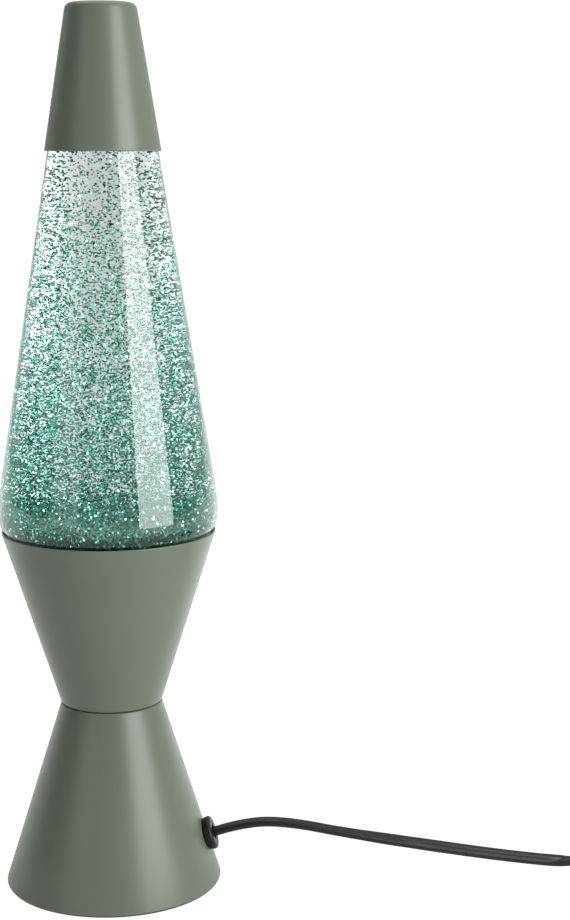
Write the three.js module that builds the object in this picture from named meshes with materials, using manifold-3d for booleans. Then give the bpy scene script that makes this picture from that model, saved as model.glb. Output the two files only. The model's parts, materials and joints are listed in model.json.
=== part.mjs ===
// A glitter lamp: a tapering glass globe of liquid and metal flakes that stands in a spun
// metal base and wears a spun metal cap. A reflector bulb in the base lights and warms it.
// Millimetres, +Z up, the lamp's axis on Z, the table at z = 0, the cord leaving towards +X.
import * as THREE from 'three';
import { mergeVertices } from 'three/addons/utils/BufferGeometryUtils.js';
import Module from 'manifold-3d';

const wasm = await Module();
wasm.setup();

// ---------------------------------------------------------------- driving dimensions
// heights of the four visible stages, from the table up
const footHeight = 79.5;
const cupHeight = 74.4;
const globeExposed = 157.1;
const capHeight = 59.0;
// radii of the outline
const footRadius = 46.2;
const waistRadius = 21.3;
const cupRadius = 45.0;
const globeRadius = 46.0;
const capRadius = 23.8;
const capTopRadius = 14.3;
// walls and clearances
const sheet = 0.9;
const glassWall = 2.5;
const glassBase = 5.0;
const fit = 0.3;
const footLift = 0.5;
const plateRecess = 1.5;
// globe
const shoulderRadius = 11.0;
const shoulderTurn = THREE.MathUtils.degToRad(42);
const globeDip = 17.0;
const heelRadius = 31.5;
const shoulderRise = 6.9;
const blendLength = 10.5;
const neckRadius = 12.6;
const neckLength = 12.0;
const mouthRadius = 13.2;
const mouthHeight = 6.6;
const boreRadius = 8.6;
const capGrip = 1.2;
const airGap = 16.0;
const gasketDrop = 8.0;
const gasketSection = 0.8;
// crown closure
const crownRadius = 16.05;
const crownHeight = 6.2;
const crownSheet = 0.5;
const linerHeight = 0.9;
// small-screw lamp holder and its reflector bulb
const holderRadius = 13.5;
const holderLength = 54.0;
const holderBore = 8.0;
const shoulderThickness = 3.4;
const ringHeight = 5.4;
const socketSheet = 0.4;
const screwRadius = 6.9;
const bulbLength = 64.4;
const bulbRadius = 19.5;
const bulbGap = 9.5;
const bulbWall = 0.8;
const screwHeight = 19.2;
// base plate, feet and cord fixings
const plateThickness = 2.0;
const padRadius = 5.0;
const padInset = 12.2;
const padCount = 4;
const tabInset = 7.7;
const tabCount = 3;
const screwCore = 1.15;
const screwHead = 3.2;
const ventCircle = 22.0;
const ventCount = 9;
const ventRadius = 2.4;
// cord and grommet
const cordWidth = 5.2;
const cordThickness = 3.2;
const grommetHeight = 19.5;
const grommetAzimuth = THREE.MathUtils.degToRad(-8);
const grommetRadius = 7.2;
const grommetThickness = 3.6;
const grommetNeck = 4.6;
const coilInner = 22.4;
const coilPitch = 5.4;
const coilColumns = 4;
const coilLayers = 2;
const coilCentre = new THREE.Vector3(347, 5, 0);
const coilFloor = 0.8;
// in-line switch
const switchLength = 62.0;
const switchWidth = 24.0;
const switchFloor = 0.6;
const switchLowerHeight = 8.4;
const switchUpperHeight = 8.2;
const switchWall = 1.6;
const switchStart = new THREE.Vector3(236, -13.6, 0);
const switchTurn = THREE.MathUtils.degToRad(-11.5);
const rockerLength = 19.0;
const rockerWidth = 10.4;
const rockerRadius = 8.6;
const rockerPin = 1.2;
// mains plug
const plugLength = 36.0;
const plugWidth = 26.0;
const plugThickness = 13.7;
const bootLength = 18.0;
const pinLength = 19.0;
const pinRadius = 2.0;
const pinSpacing = 18.6;
const sleeveLength = 10.0;

// ---------------------------------------------------------------- places worked out from them
const waistZ = footHeight;
const rimZ = footHeight + cupHeight;
const capZ = rimZ + globeExposed;
const topZ = capZ + capHeight;
const footSlope = (footRadius - waistRadius) / (waistZ - footLift);
const cupSlope = (cupRadius - waistRadius) / cupHeight;
const capSlope = (capRadius - capTopRadius) / capHeight;
const footOuter = (z) => footRadius - footSlope * (z - footLift);
const cupOuter = (z) => waistRadius + cupSlope * (z - waistZ);
const capOuter = (z) => capRadius - capSlope * (z - capZ);
const slantWall = (slope) => sheet * Math.hypot(1, slope);
const footInner = (z) => footOuter(z) - slantWall(footSlope);
const cupInner = (z) => cupOuter(z) - slantWall(cupSlope);
const capInner = (z) => capOuter(z) - slantWall(capSlope);
const widestZ = rimZ + shoulderRise;
const coneStartZ = widestZ + blendLength;
const coneEndRadius = capRadius - capGrip;
const bottomZ = rimZ - globeDip;
const crownSkirtZ = capZ + (capInner(capZ) - fit - crownRadius) / capSlope;
const mouthZ = crownSkirtZ + crownHeight - crownSheet - linerHeight - 2 * fit;
const neckZ = mouthZ - mouthHeight - neckLength;
const bulbFrontZ = bottomZ - bulbGap;
const bulbTipZ = bulbFrontZ - bulbLength;
const holderTopZ = bulbTipZ + 27.0;
const holderZ = holderTopZ - holderLength;
const plateZ = footLift + plateRecess;
const plateTopZ = plateZ + plateThickness;
const padCircle = footRadius - padInset;
const tabCircle = footRadius - tabInset;

// ---------------------------------------------------------------- materials
const finish = (color, roughness, metalness) =>
  new THREE.MeshStandardMaterial({ color, roughness, metalness });
const sagePaint = finish(0x76806f, 0.42, 0.35);
const clearGlass = new THREE.MeshStandardMaterial({
  color: 0xe6f2ee, roughness: 0.05, metalness: 0, transparent: true, opacity: 0.35,
});
const bulbGlass = new THREE.MeshStandardMaterial({
  color: 0xf2f0ea, roughness: 0.25, metalness: 0, transparent: true, opacity: 0.6,
});
const greenLiquid = finish(0x7fae97, 0.1, 0);
const greenFlakes = finish(0x2c5d4c, 0.25, 0.8);
const blackPlastic = finish(0x1d1d1e, 0.5, 0);
const blackRubber = finish(0x161616, 0.8, 0);
const charcoalCord = finish(0x333335, 0.45, 0);
const whitePlastic = finish(0xe8e4da, 0.4, 0);
const brass = finish(0xb59a55, 0.3, 0.9);
const tinnedSteel = finish(0xb8b8b4, 0.3, 0.9);
const blackGlass = finish(0x101010, 0.15, 0);
const blueWire = finish(0x2e5aa8, 0.5, 0);
const brownWire = finish(0x6b4527, 0.5, 0);
const tungsten = finish(0x4a4a4c, 0.4, 0.8);

// ---------------------------------------------------------------- helpers
const model = new THREE.Group();

function place(name, geometry, material, parent = model) {
  const mesh = new THREE.Mesh(geometry, material);
  mesh.name = name;
  parent.add(mesh);
  return mesh;
}

// a body of revolution about Z from [radius, z] points, listed up the outside
function turned(profile, segments = 40) {
  const points = profile.map(([r, z]) => new THREE.Vector2(r, z));
  const geometry = new THREE.LatheGeometry(points, segments);
  return geometry.rotateX(Math.PI / 2);
}

// the same from a ring section that closes on itself
const ring = (section, segments = 40) => turned([...section, section[0]], segments);

function arc(centreR, centreZ, radius, from, to, steps) {
  return Array.from({ length: steps + 1 }, (_, i) => {
    const angle = from + ((to - from) * i) / steps;
    return [centreR + radius * Math.cos(angle), centreZ + radius * Math.sin(angle)];
  });
}

function solid(geometry) {
  const bare = geometry.index ? geometry.clone() : mergeVertices(geometry);
  bare.deleteAttribute('normal');
  bare.deleteAttribute('uv');
  const merged = mergeVertices(bare, 1e-4);
  const corners = merged.index.array;
  const kept = [];
  for (let i = 0; i < corners.length; i += 3) {
    const [a, b, c] = [corners[i], corners[i + 1], corners[i + 2]];
    if (a !== b && b !== c && c !== a) kept.push(a, b, c);
  }
  const vertProperties = new Float32Array(merged.attributes.position.array);
  const triVerts = new Uint32Array(kept);
  return new wasm.Manifold(new wasm.Mesh({ numProp: 3, vertProperties, triVerts }));
}

function surface(body) {
  const mesh = body.getMesh();
  const geometry = new THREE.BufferGeometry();
  geometry.setAttribute('position', new THREE.BufferAttribute(mesh.vertProperties, 3));
  geometry.setIndex(new THREE.BufferAttribute(mesh.triVerts, 1));
  return geometry;
}

const rod = (radius, z0, z1, segments = 16) =>
  turned([[0, z0], [radius, z0], [radius, z1], [0, z1]], segments);

const tube = (inner, outer, z0, z1, segments = 20) =>
  ring([[inner, z0], [outer, z0], [outer, z1], [inner, z1]], segments);

const block = (x0, x1, y0, y1, z0, z1) =>
  new THREE.BoxGeometry(x1 - x0, y1 - y0, z1 - z0)
    .translate((x0 + x1) / 2, (y0 + y1) / 2, (z0 + z1) / 2);

const polar = (radius, angle, z) =>
  new THREE.Vector3(radius * Math.cos(angle), radius * Math.sin(angle), z);

// a slab with rounded corners in plan
function roundedSlab(x0, x1, y0, y1, corner, z0, z1, bevel = 0) {
  const outline = new THREE.Shape();
  const quarter = Math.PI / 2;
  outline.absarc(x1 - corner, y1 - corner, corner, 0, quarter);
  outline.absarc(x0 + corner, y1 - corner, corner, quarter, 2 * quarter);
  outline.absarc(x0 + corner, y0 + corner, corner, 2 * quarter, 3 * quarter);
  outline.absarc(x1 - corner, y0 + corner, corner, 3 * quarter, 4 * quarter);
  const geometry = new THREE.ExtrudeGeometry(outline, {
    depth: z1 - z0 - 2 * bevel,
    curveSegments: 5,
    bevelEnabled: bevel > 0,
    bevelThickness: bevel,
    bevelSize: bevel,
    bevelOffset: -bevel,
    bevelSegments: 2,
  });
  return geometry.translate(0, 0, z0 + bevel);
}

// a length of wire or cord; an oval section lies with its width level
function swept(points, width, thickness, sides, steps) {
  const path = new THREE.CatmullRomCurve3(points, false, 'centripetal');
  const level = Math.abs(path.computeFrenetFrames(1).normals[0].z) < 0.5;
  const section = new THREE.Shape(
    Array.from({ length: sides }, (_, i) => {
      const angle = (2 * Math.PI * (i + 0.5)) / sides;
      const across = (width / 2) * Math.cos(angle);
      const upright = (thickness / 2) * Math.sin(angle);
      return level ? new THREE.Vector2(across, upright) : new THREE.Vector2(upright, across);
    }),
  );
  return new THREE.ExtrudeGeometry(section, { extrudePath: path, steps, bevelEnabled: false });
}

const route = (rows) => rows.map(([x, y, z]) => new THREE.Vector3(x, y, z));

// ---------------------------------------------------------------- cap
function makeCap() {
  const edge = 3.0;
  const lip = 0.5;
  const lean = Math.atan(capSlope);
  const corner = topZ - edge;
  const outerCorner = capOuter(corner) - edge;
  const innerEdge = edge - sheet;
  place('cap_shell', turned([
    [0, topZ - sheet],
    ...arc(outerCorner, corner, innerEdge, Math.PI / 2, lean, 2),
    [capInner(capZ), capZ],
    [capOuter(capZ) - lip, capZ],
    [capOuter(capZ), capZ + lip],
    ...arc(outerCorner, corner, edge, lean, Math.PI / 2, 4),
    [0, topZ],
  ]), sagePaint);
}

// ---------------------------------------------------------------- globe
// the cone leans from just above the shoulder to where the cap sits on it, and under the
// cap it leans at least as far as the cap does
const globeSlope = (globeRadius - coneEndRadius) / (capZ - coneStartZ + blendLength / 2);
const globeSlopeAt = (z) => (z > capZ ? Math.max(globeSlope, capSlope) : globeSlope);
const globeConeRadius = (z) => coneEndRadius + globeSlopeAt(z) * (capZ - z);
const shoulderCentre = globeRadius - shoulderRadius;
const globeFloorZ = bottomZ + glassBase;
const insideHeelTurn = Math.PI * 0.4;
const punt = 2.6;

// below the shoulder the glass narrows in a straight cone to its heel
const heelEdge = [heelRadius + 3.0, bottomZ + 1.0];
const shoulderEnd = arc(shoulderCentre, widestZ, shoulderRadius, -shoulderTurn, 0, 1)[0];
const globeUnderside = (z) => heelEdge[0]
  + ((shoulderEnd[0] - heelEdge[0]) * (z - heelEdge[1])) / (shoulderEnd[1] - heelEdge[1]);

// the glass's outline from its heel to its mouth
function globeOuter() {
  const tangent = (blendLength / 2) * globeSlope;
  return [
    [heelRadius, bottomZ],
    heelEdge,
    ...arc(shoulderCentre, widestZ, shoulderRadius, -shoulderTurn, 0, 4),
    [globeRadius - tangent * 0.25, widestZ + blendLength / 2],
    [globeRadius - tangent, coneStartZ],
    [coneEndRadius, capZ],
    [globeConeRadius(neckZ), neckZ],
    [neckRadius, neckZ + 4.5],
    [neckRadius, mouthZ - mouthHeight],
    [mouthRadius, mouthZ - mouthHeight + 1.2],
    [mouthRadius, mouthZ - 1.0],
    [mouthRadius - 1.0, mouthZ],
  ];
}

// the inside of the glass, or a line set in from it, from the floor's edge to the neck
function globeInside(inset) {
  const side = (glassWall + inset) * Math.hypot(1, globeSlope);
  const heel = shoulderRadius - glassWall - inset;
  return {
    heel: arc(shoulderCentre, widestZ + 1, heel, -insideHeelTurn, 0, 4),
    wall: [
      [globeRadius - glassWall - inset, widestZ + 2],
      [globeConeRadius(coneStartZ) - side, coneStartZ],
      [globeConeRadius(neckZ - 3) - side, neckZ - 3],
      [boreRadius - inset, neckZ + 3],
    ],
  };
}

function makeGlobeGlass() {
  const { heel, wall } = globeInside(0);
  place('globe_glass', turned([
    [0, bottomZ + punt],
    [heelRadius - 9, bottomZ + punt],
    [heelRadius - 3, bottomZ],
    ...globeOuter(),
    [boreRadius, mouthZ],
    ...[...heel, ...wall].reverse(),
    [shoulderCentre - 2, globeFloorZ],
    [0, globeFloorZ],
  ]), clearGlass);
}

// what fills the globe: settled flakes at the bottom and the liquid above them
function makeFilling() {
  const { heel, wall } = globeInside(fit);
  const floor = globeFloorZ + fit;
  const bedTop = widestZ + 1;
  place('glitter_bed', turned([
    [0, floor],
    [shoulderCentre - 2, floor],
    ...heel,
    [0, bedTop],
  ]), greenFlakes);
  place('liquid', turned([
    [0, bedTop + fit],
    [heel[heel.length - 1][0], bedTop + fit],
    ...wall,
    [boreRadius - fit, mouthZ - airGap],
    [0, mouthZ - airGap],
  ]), greenLiquid);
}

function makeClosure() {
  const inside = crownRadius - 1.7;
  const crownTop = crownSkirtZ + crownHeight;
  place('closure_liner', rod(mouthRadius - 0.9, mouthZ + fit, mouthZ + fit + linerHeight, 32),
    whitePlastic);
  place('crown_closure', turned([
    [0, crownTop - crownSheet],
    [inside - 0.4, crownTop - crownSheet],
    [inside + 0.4, crownTop - 1.6],
    [crownRadius - crownSheet, crownSkirtZ],
    [crownRadius, crownSkirtZ],
    [inside + 1.0, crownTop - 1.4],
    [inside - 0.4, crownTop],
    [0, crownTop],
  ], 28), sagePaint);
}

// ---------------------------------------------------------------- metal base
function makeCup() {
  const floorZ = waistZ + fit;
  const hole = holderRadius + fit;
  const round = 0.8;
  place('cup_shell', ring([
    [hole, floorZ],
    [cupOuter(floorZ) - round, floorZ],
    [cupOuter(floorZ + round), floorZ + round],
    [cupOuter(rimZ - 0.3), rimZ - 0.3],
    [cupOuter(rimZ) - 0.35, rimZ],
    [cupInner(rimZ) + 0.1, rimZ],
    [cupInner(floorZ + sheet), floorZ + sheet],
    [hole, floorZ + sheet],
  ]), sagePaint);
  const gasketZ = rimZ - gasketDrop;
  const gasketR = (cupInner(gasketZ) + globeUnderside(gasketZ)) / 2;
  const eighth = Math.PI / 4;
  place('globe_gasket', ring(arc(gasketR, gasketZ, gasketSection, 0, 7 * eighth, 7), 32), blackRubber);
}

// the grommet's frame: its own Z points out of the foot's cone
function grommetGroup() {
  const group = new THREE.Group();
  const lean = Math.atan(footSlope);
  const outward = polar(Math.cos(lean), grommetAzimuth, Math.sin(lean));
  group.position.copy(polar(footOuter(grommetHeight), grommetAzimuth, grommetHeight));
  group.quaternion.setFromUnitVectors(new THREE.Vector3(0, 0, 1), outward);
  group.updateMatrix();
  return group;
}

const grommetPlace = grommetGroup();
const inPlace = (geometry) => solid(geometry.clone().applyMatrix4(grommetPlace.matrix));
const footCone = (outset) => solid(turned([
  [0, -20],
  [footOuter(-20) + outset, -20],
  [footOuter(waistZ) + outset, waistZ],
  [0, waistZ],
], 64));

function makeFoot() {
  const topInner = waistZ - sheet;
  const hole = holderRadius + fit;
  const round = 0.8;
  const shell = solid(ring([
    [footInner(footLift), footLift],
    [footOuter(footLift) - 0.4, footLift],
    [footOuter(footLift + 0.5), footLift + 0.5],
    [footOuter(waistZ - round), waistZ - round],
    [footOuter(waistZ) - round, waistZ],
    [hole, waistZ],
    [hole, topInner],
    [footInner(topInner), topInner],
  ]));
  const tabZ = plateTopZ + fit;
  const tabs = Array.from({ length: tabCount }, (_, i) => {
    const angle = Math.PI / 3 + (2 * Math.PI * i) / tabCount;
    const outer = footInner(tabZ) + 0.4;
    const tab = block(tabCircle - 4, outer, -4, 4, tabZ, tabZ + 1.4).rotateZ(angle);
    const centre = polar(tabCircle, angle, 0);
    const hole = rod(screwCore + fit, tabZ - 1, tabZ + 3, 12).translate(centre.x, centre.y, 0);
    return solid(tab).subtract(solid(hole));
  });
  const opening = inPlace(rod(grommetNeck + fit, -6, 6, 24));
  const foot = tabs.reduce((sum, tab) => sum.add(tab), shell).subtract(opening);
  place('foot_shell', surface(foot), sagePaint);
}

function makeGrommet() {
  const bore = cordWidth / 2 + 0.35;
  const inside = 5.2;
  const flange = inPlace(turned([
    [0, -1.6],
    [grommetRadius, -1.6],
    [grommetRadius, grommetThickness - 1.3],
    ...arc(grommetRadius - 1.3, grommetThickness - 1.3, 1.3, Math.PI / 6, Math.PI / 2, 2),
    [0, grommetThickness],
  ], 28)).subtract(footCone(fit));
  const neck = inPlace(rod(grommetNeck, -inside, grommetThickness / 2, 24));
  const passage = inPlace(rod(bore, -inside - 2, grommetThickness + 2, 20));
  place('grommet', surface(flange.add(neck).subtract(passage)), blackRubber);
  const nut = inPlace(tube(grommetNeck + fit, grommetRadius, -4.6, 1, 24));
  const inner = footCone(-slantWall(footSlope) - fit);
  place('grommet_nut', surface(nut.intersect(inner)), blackPlastic);
}

function makeBasePlate() {
  const radius = footInner(plateTopZ) - fit - 0.1;
  let plate = solid(rod(radius, plateZ, plateTopZ, 48));
  const bores = [];
  for (let i = 0; i < tabCount; i += 1) {
    bores.push([polar(tabCircle, Math.PI / 3 + (2 * Math.PI * i) / tabCount, 0), screwCore + fit]);
  }
  for (let i = 0; i < ventCount; i += 1) {
    const angle = (2 * Math.PI * (i + 0.5)) / ventCount;
    bores.push([polar(ventCircle, angle, 0), ventRadius]);
  }
  for (const y of clampScrewPlaces()) {
    bores.push([new THREE.Vector3(clampX, y, 0), screwCore + fit]);
  }
  for (const [centre, size] of bores) {
    const hole = rod(size, plateZ - 1, plateTopZ + 1, 12).translate(centre.x, centre.y, 0);
    plate = plate.subtract(solid(hole));
  }
  place('base_plate', surface(plate), blackPlastic);
  for (let i = 0; i < tabCount; i += 1) {
    const centre = polar(tabCircle, Math.PI / 3 + (2 * Math.PI * i) / tabCount, 0);
    place(`base_screw_${i + 1}`, panScrew(plateZ - fit, plateTopZ + 2.4, 1.1), tinnedSteel)
      .position.copy(centre);
  }
  for (let i = 0; i < padCount; i += 1) {
    const angle = Math.PI / 12 + (2 * Math.PI * i) / padCount;
    const edge = 0.6;
    const pad = turned([
      [0, 0],
      [padRadius - edge, 0],
      [padRadius, edge],
      [padRadius, plateZ - fit],
      [0, plateZ - fit],
    ], 24);
    place(`foot_pad_${i + 1}`, pad, blackRubber).position.copy(polar(padCircle, angle, 0));
  }
}

// a screw that points up, with its head below
function panScrew(seat, tip, head) {
  return turned([
    [0, seat - head],
    [screwHead - 0.6, seat - head],
    [screwHead, seat],
    [screwCore, seat],
    [screwCore, tip - 0.8],
    [0.3, tip],
    [0, tip],
  ], 16);
}

// ---------------------------------------------------------------- holder, wiring and bulb
const wireRadius = 1.0;
const wireCircle = 6.0;
const terminalZ = holderZ + 6.5;

function makeHolder() {
  const boreFloor = bulbTipZ - 2.0;
  const skirt = footInner(waistZ - shoulderThickness) - 2.4;
  const seat = waistZ - sheet - fit;
  let body = solid(turned([
    [0, holderZ],
    [holderRadius - 1, holderZ],
    [holderRadius, holderZ + 1],
    [holderRadius, seat - shoulderThickness],
    [skirt, seat - shoulderThickness],
    [skirt, seat],
    [holderRadius, seat],
    [holderRadius, holderTopZ - 0.8],
    [holderRadius - 0.8, holderTopZ],
    [holderBore, holderTopZ],
    [holderBore, boreFloor],
    [0, boreFloor],
  ], 28));
  for (const side of [-1, 1]) {
    const shaft = rod(wireRadius + 0.5, holderZ - 1, holderZ + 10, 12);
    const screwWay = rod(1.5 + fit, 0, 20, 12).rotateX((-side * Math.PI) / 2)
      .translate(0, side * (wireCircle + wireRadius + 0.1), terminalZ);
    body = body
      .subtract(solid(shaft.translate(0, side * wireCircle, 0)))
      .subtract(solid(screwWay));
  }
  place('lamp_holder', surface(body), whitePlastic);
  const ringZ = waistZ + fit + sheet + fit;
  place('holder_ring', tube(
    holderRadius + fit, cupInner(ringZ) - 1.4, ringZ, ringZ + ringHeight, 28), whitePlastic);
  const shellZ = bulbTipZ + 3.0;
  place('holder_screw_shell', tube(
    screwRadius + fit, screwRadius + fit + socketSheet, shellZ, holderTopZ - 2.5, 24), brass);
  place('holder_contact', turned([
    [0, boreFloor + fit],
    [4.2, boreFloor + fit],
    [4.2, boreFloor + fit + 0.5],
    [2.0, bulbTipZ - fit],
    [0, bulbTipZ - fit],
  ], 20), brass);
  for (const [name, side] of [['terminal_screw_live', -1], ['terminal_screw_neutral', 1]]) {
    const screw = turned([
      [0, 0],
      [1.5, 0],
      [1.5, 4.6],
      [0, 4.6],
    ], 14).rotateX((-side * Math.PI) / 2)
      .translate(0, side * (wireCircle + wireRadius + 0.4), terminalZ);
    place(name, screw, brass);
  }
}

function makeBulb() {
  const shellZ = bulbTipZ + 3.2;
  const collarZ = shellZ + screwHeight;
  const necked = screwRadius - 1.3;
  const flare = bulbFrontZ - 13.0;
  const outline = [
    [necked, collarZ - 6],
    [necked, collarZ + fit],
    [screwRadius - 0.3, collarZ + 0.6],
    [screwRadius + 0.3, collarZ + 4.8],
    [screwRadius + 2.4, collarZ + 9],
    [screwRadius + 6.2, collarZ + 15],
    [bulbRadius - 1.4, flare - 3.6],
    [bulbRadius, flare],
    [bulbRadius - 1.2, flare + 3.4],
    [bulbRadius - 5.5, flare + 8.0],
    [bulbRadius - 11.5, flare + 11.6],
  ];
  const dome = outline.findIndex(([, z]) => z > flare);
  const inner = outline.map(([r, z], i) => [r - bulbWall, i < dome ? z : z - bulbWall * 0.6]);
  place('bulb_envelope', turned([
    [0, bulbFrontZ - bulbWall],
    ...inner.reverse(),
    ...outline,
    [0, bulbFrontZ],
  ], 28), bulbGlass);
  place('bulb_screw_base', ring([
    [screwRadius - 0.9, shellZ],
    [screwRadius - 0.4, shellZ],
    ...Array.from({ length: 7 }, (_, i) => [
      screwRadius - 0.25 - 0.2 * Math.cos(i * Math.PI), shellZ + 1.5 + i * 2.3,
    ]),
    [screwRadius - 0.1, collarZ - 1],
    [screwRadius - 0.1, collarZ],
    [screwRadius - 0.9, collarZ],
  ], 20), tinnedSteel);
  place('bulb_insulator', turned([
    [0, bulbTipZ + 1.3],
    [2.8, bulbTipZ + 1.3],
    [screwRadius - 1.0, shellZ - fit],
    [0, shellZ - fit],
  ], 24), blackGlass);
  place('bulb_tip_contact', turned([
    [0, bulbTipZ],
    [1.8, bulbTipZ],
    [2.6, bulbTipZ + 0.5],
    [2.6, bulbTipZ + 1.0],
    [0, bulbTipZ + 1.0],
  ], 20), tinnedSteel);
  const stemTop = collarZ + 12;
  place('bulb_stem', turned([
    [0, collarZ - 5],
    [necked - bulbWall - 0.5, collarZ - 5],
    [2.0, collarZ + 1],
    [2.0, stemTop],
    [0, stemTop],
  ], 16), bulbGlass);
  const filamentZ = flare - 4.0;
  const spread = 7.0;
  for (const [name, side] of [['filament_lead_1', -1], ['filament_lead_2', 1]]) {
    place(name, swept(route([
      [side * 1.2, 0, stemTop + 0.6],
      [side * 3.4, 0, stemTop + 3],
      [side * spread, 0, filamentZ - 1.4],
      [side * spread, 0, filamentZ - fit - 0.35],
    ]), 0.6, 0.6, 6, 6), tinnedSteel);
  }
  place('filament', swept(route([
    [-spread - 0.4, 0, filamentZ],
    [-spread / 2, 0.6, filamentZ + 0.8],
    [0, 0.9, filamentZ + 1.2],
    [spread / 2, 0.6, filamentZ + 0.8],
    [spread + 0.4, 0, filamentZ],
  ]), 0.6, 0.6, 6, 12), tungsten);
}

// ---------------------------------------------------------------- cord inside the foot
const clampX = 9.0;
const clampScrewLength = 5.5;
const innerCordZ = plateTopZ + fit + cordThickness / 2;

function clampScrewPlaces() {
  const reach = cordWidth / 2 + 5.6;
  return [-1.6 - reach, -1.6 + reach];
}

function makeInnerCord() {
  const through = grommetPlace.position;
  const outward = new THREE.Vector3(0, 0, 1).applyQuaternion(grommetPlace.quaternion);
  const along = (distance) => through.clone().addScaledVector(outward, distance);
  place('cord_inner', swept([
    along(grommetThickness - 0.6),
    along(0),
    along(-7),
    new THREE.Vector3(24, -3.3, innerCordZ + 3.4),
    new THREE.Vector3(17, -2.2, innerCordZ + 0.3),
    new THREE.Vector3(clampX, -1.6, innerCordZ),
    new THREE.Vector3(0, -1.3, innerCordZ),
  ], cordWidth, cordThickness, 8, 18), charcoalCord);
  const wireStart = innerCordZ;
  for (const [name, material, side] of [['wire_live', brownWire, -1], ['wire_neutral', blueWire, 1]]) {
    place(name, swept(route([
      [-0.8, -1.3 + side * 1.4, wireStart],
      [-7, -1.0 + side * 2.6, wireStart + 1.5],
      [-11.5, side * 4.6, wireStart + 8],
      [-10, side * 6.4, holderZ - 14],
      [-4.5, side * 6.2, holderZ - 8.5],
      [-0.8, side * wireCircle, holderZ - 4.5],
      [0, side * wireCircle, holderZ - 1.5],
      [0, side * wireCircle, holderZ + 3],
      [0, side * wireCircle, holderZ + 8.6],
    ]), 2 * wireRadius, 2 * wireRadius, 8, 20), material);
  }
}

// a saddle that holds the cord down on the base plate
function makeClamp() {
  const [low, high] = clampScrewPlaces();
  const middle = (low + high) / 2;
  const half = cordWidth / 2 + fit;
  const top = innerCordZ + cordThickness / 2 + fit;
  const foot = plateTopZ + fit;
  const outline = new THREE.Shape([
    [low - 3.6, foot], [middle - half - 0.2, foot],
    [middle - half - 0.2, top], [middle + half + 0.2, top],
    [middle + half + 0.2, foot], [high + 3.6, foot], [high + 3.6, foot + 1.8],
    [middle + half + 2, foot + 1.8],
    [middle + half + 1.2, top + 1.8], [middle - half - 1.2, top + 1.8],
    [middle - half - 2, foot + 1.8], [low - 3.6, foot + 1.8],
  ].map(([y, z]) => new THREE.Vector2(y, z)));
  const bar = new THREE.ExtrudeGeometry(outline, { depth: 7, bevelEnabled: false })
    .rotateX(Math.PI / 2).rotateZ(Math.PI / 2).translate(clampX - 3.5, 0, 0);
  let saddle = solid(bar);
  for (const y of [low, high]) {
    const hole = rod(screwCore + fit, foot - 1, foot + 4, 12).translate(clampX, y, 0);
    saddle = saddle.subtract(solid(hole));
  }
  place('cord_clamp', surface(saddle), blackPlastic);
  [low, high].forEach((y, i) => {
    const screw = panScrew(0, clampScrewLength, 1.3).rotateX(Math.PI);
    place(`clamp_screw_${i + 1}`, screw, tinnedSteel)
      .position.set(clampX, y, foot + 1.8 + fit);
  });
}

// ---------------------------------------------------------------- cord outside
// the lead springs out of the grommet, arches over and meets the table beside the lamp
const leadRoute = [
  [43.6, -6.1, 20.7], [50, -7.0, 22.7], [57, -7.9, 24.3], [65, -8.7, 25.2], [74, -9.4, 24.7],
  [84, -9.9, 23.1], [94, -10.2, 20.9], [105, -10.3, 18.6], [117, -10.3, 16.2], [130, -10.2, 13.7],
  [143, -10.0, 11.2], [156, -9.7, 8.7], [168, -9.3, 6.5], [180, -9.0, 4.5], [191, -8.8, 2.9],
  [201, -8.7, 2.0], [209, -9.0, 1.9], [217, -10.0, 3.2], [225, -11.4, 5.6], [231, -12.6, 7.5],
  [235.7, -13.5, 8.4],
];
const linkRoute = [
  [297.1, -26.0, 8.4], [303, -27.2, 7.8], [311, -28.9, 6.0], [320, -30.7, 4.3],
  [330, -32.3, 3.6], [338, -33.2, 3.5],
];
const tailRoute = [
  [331, 43.9, 8.4], [326, 43.2, 8.0], [320, 42.0, 7.6], [315, 40.8, 7.5],
];

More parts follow.
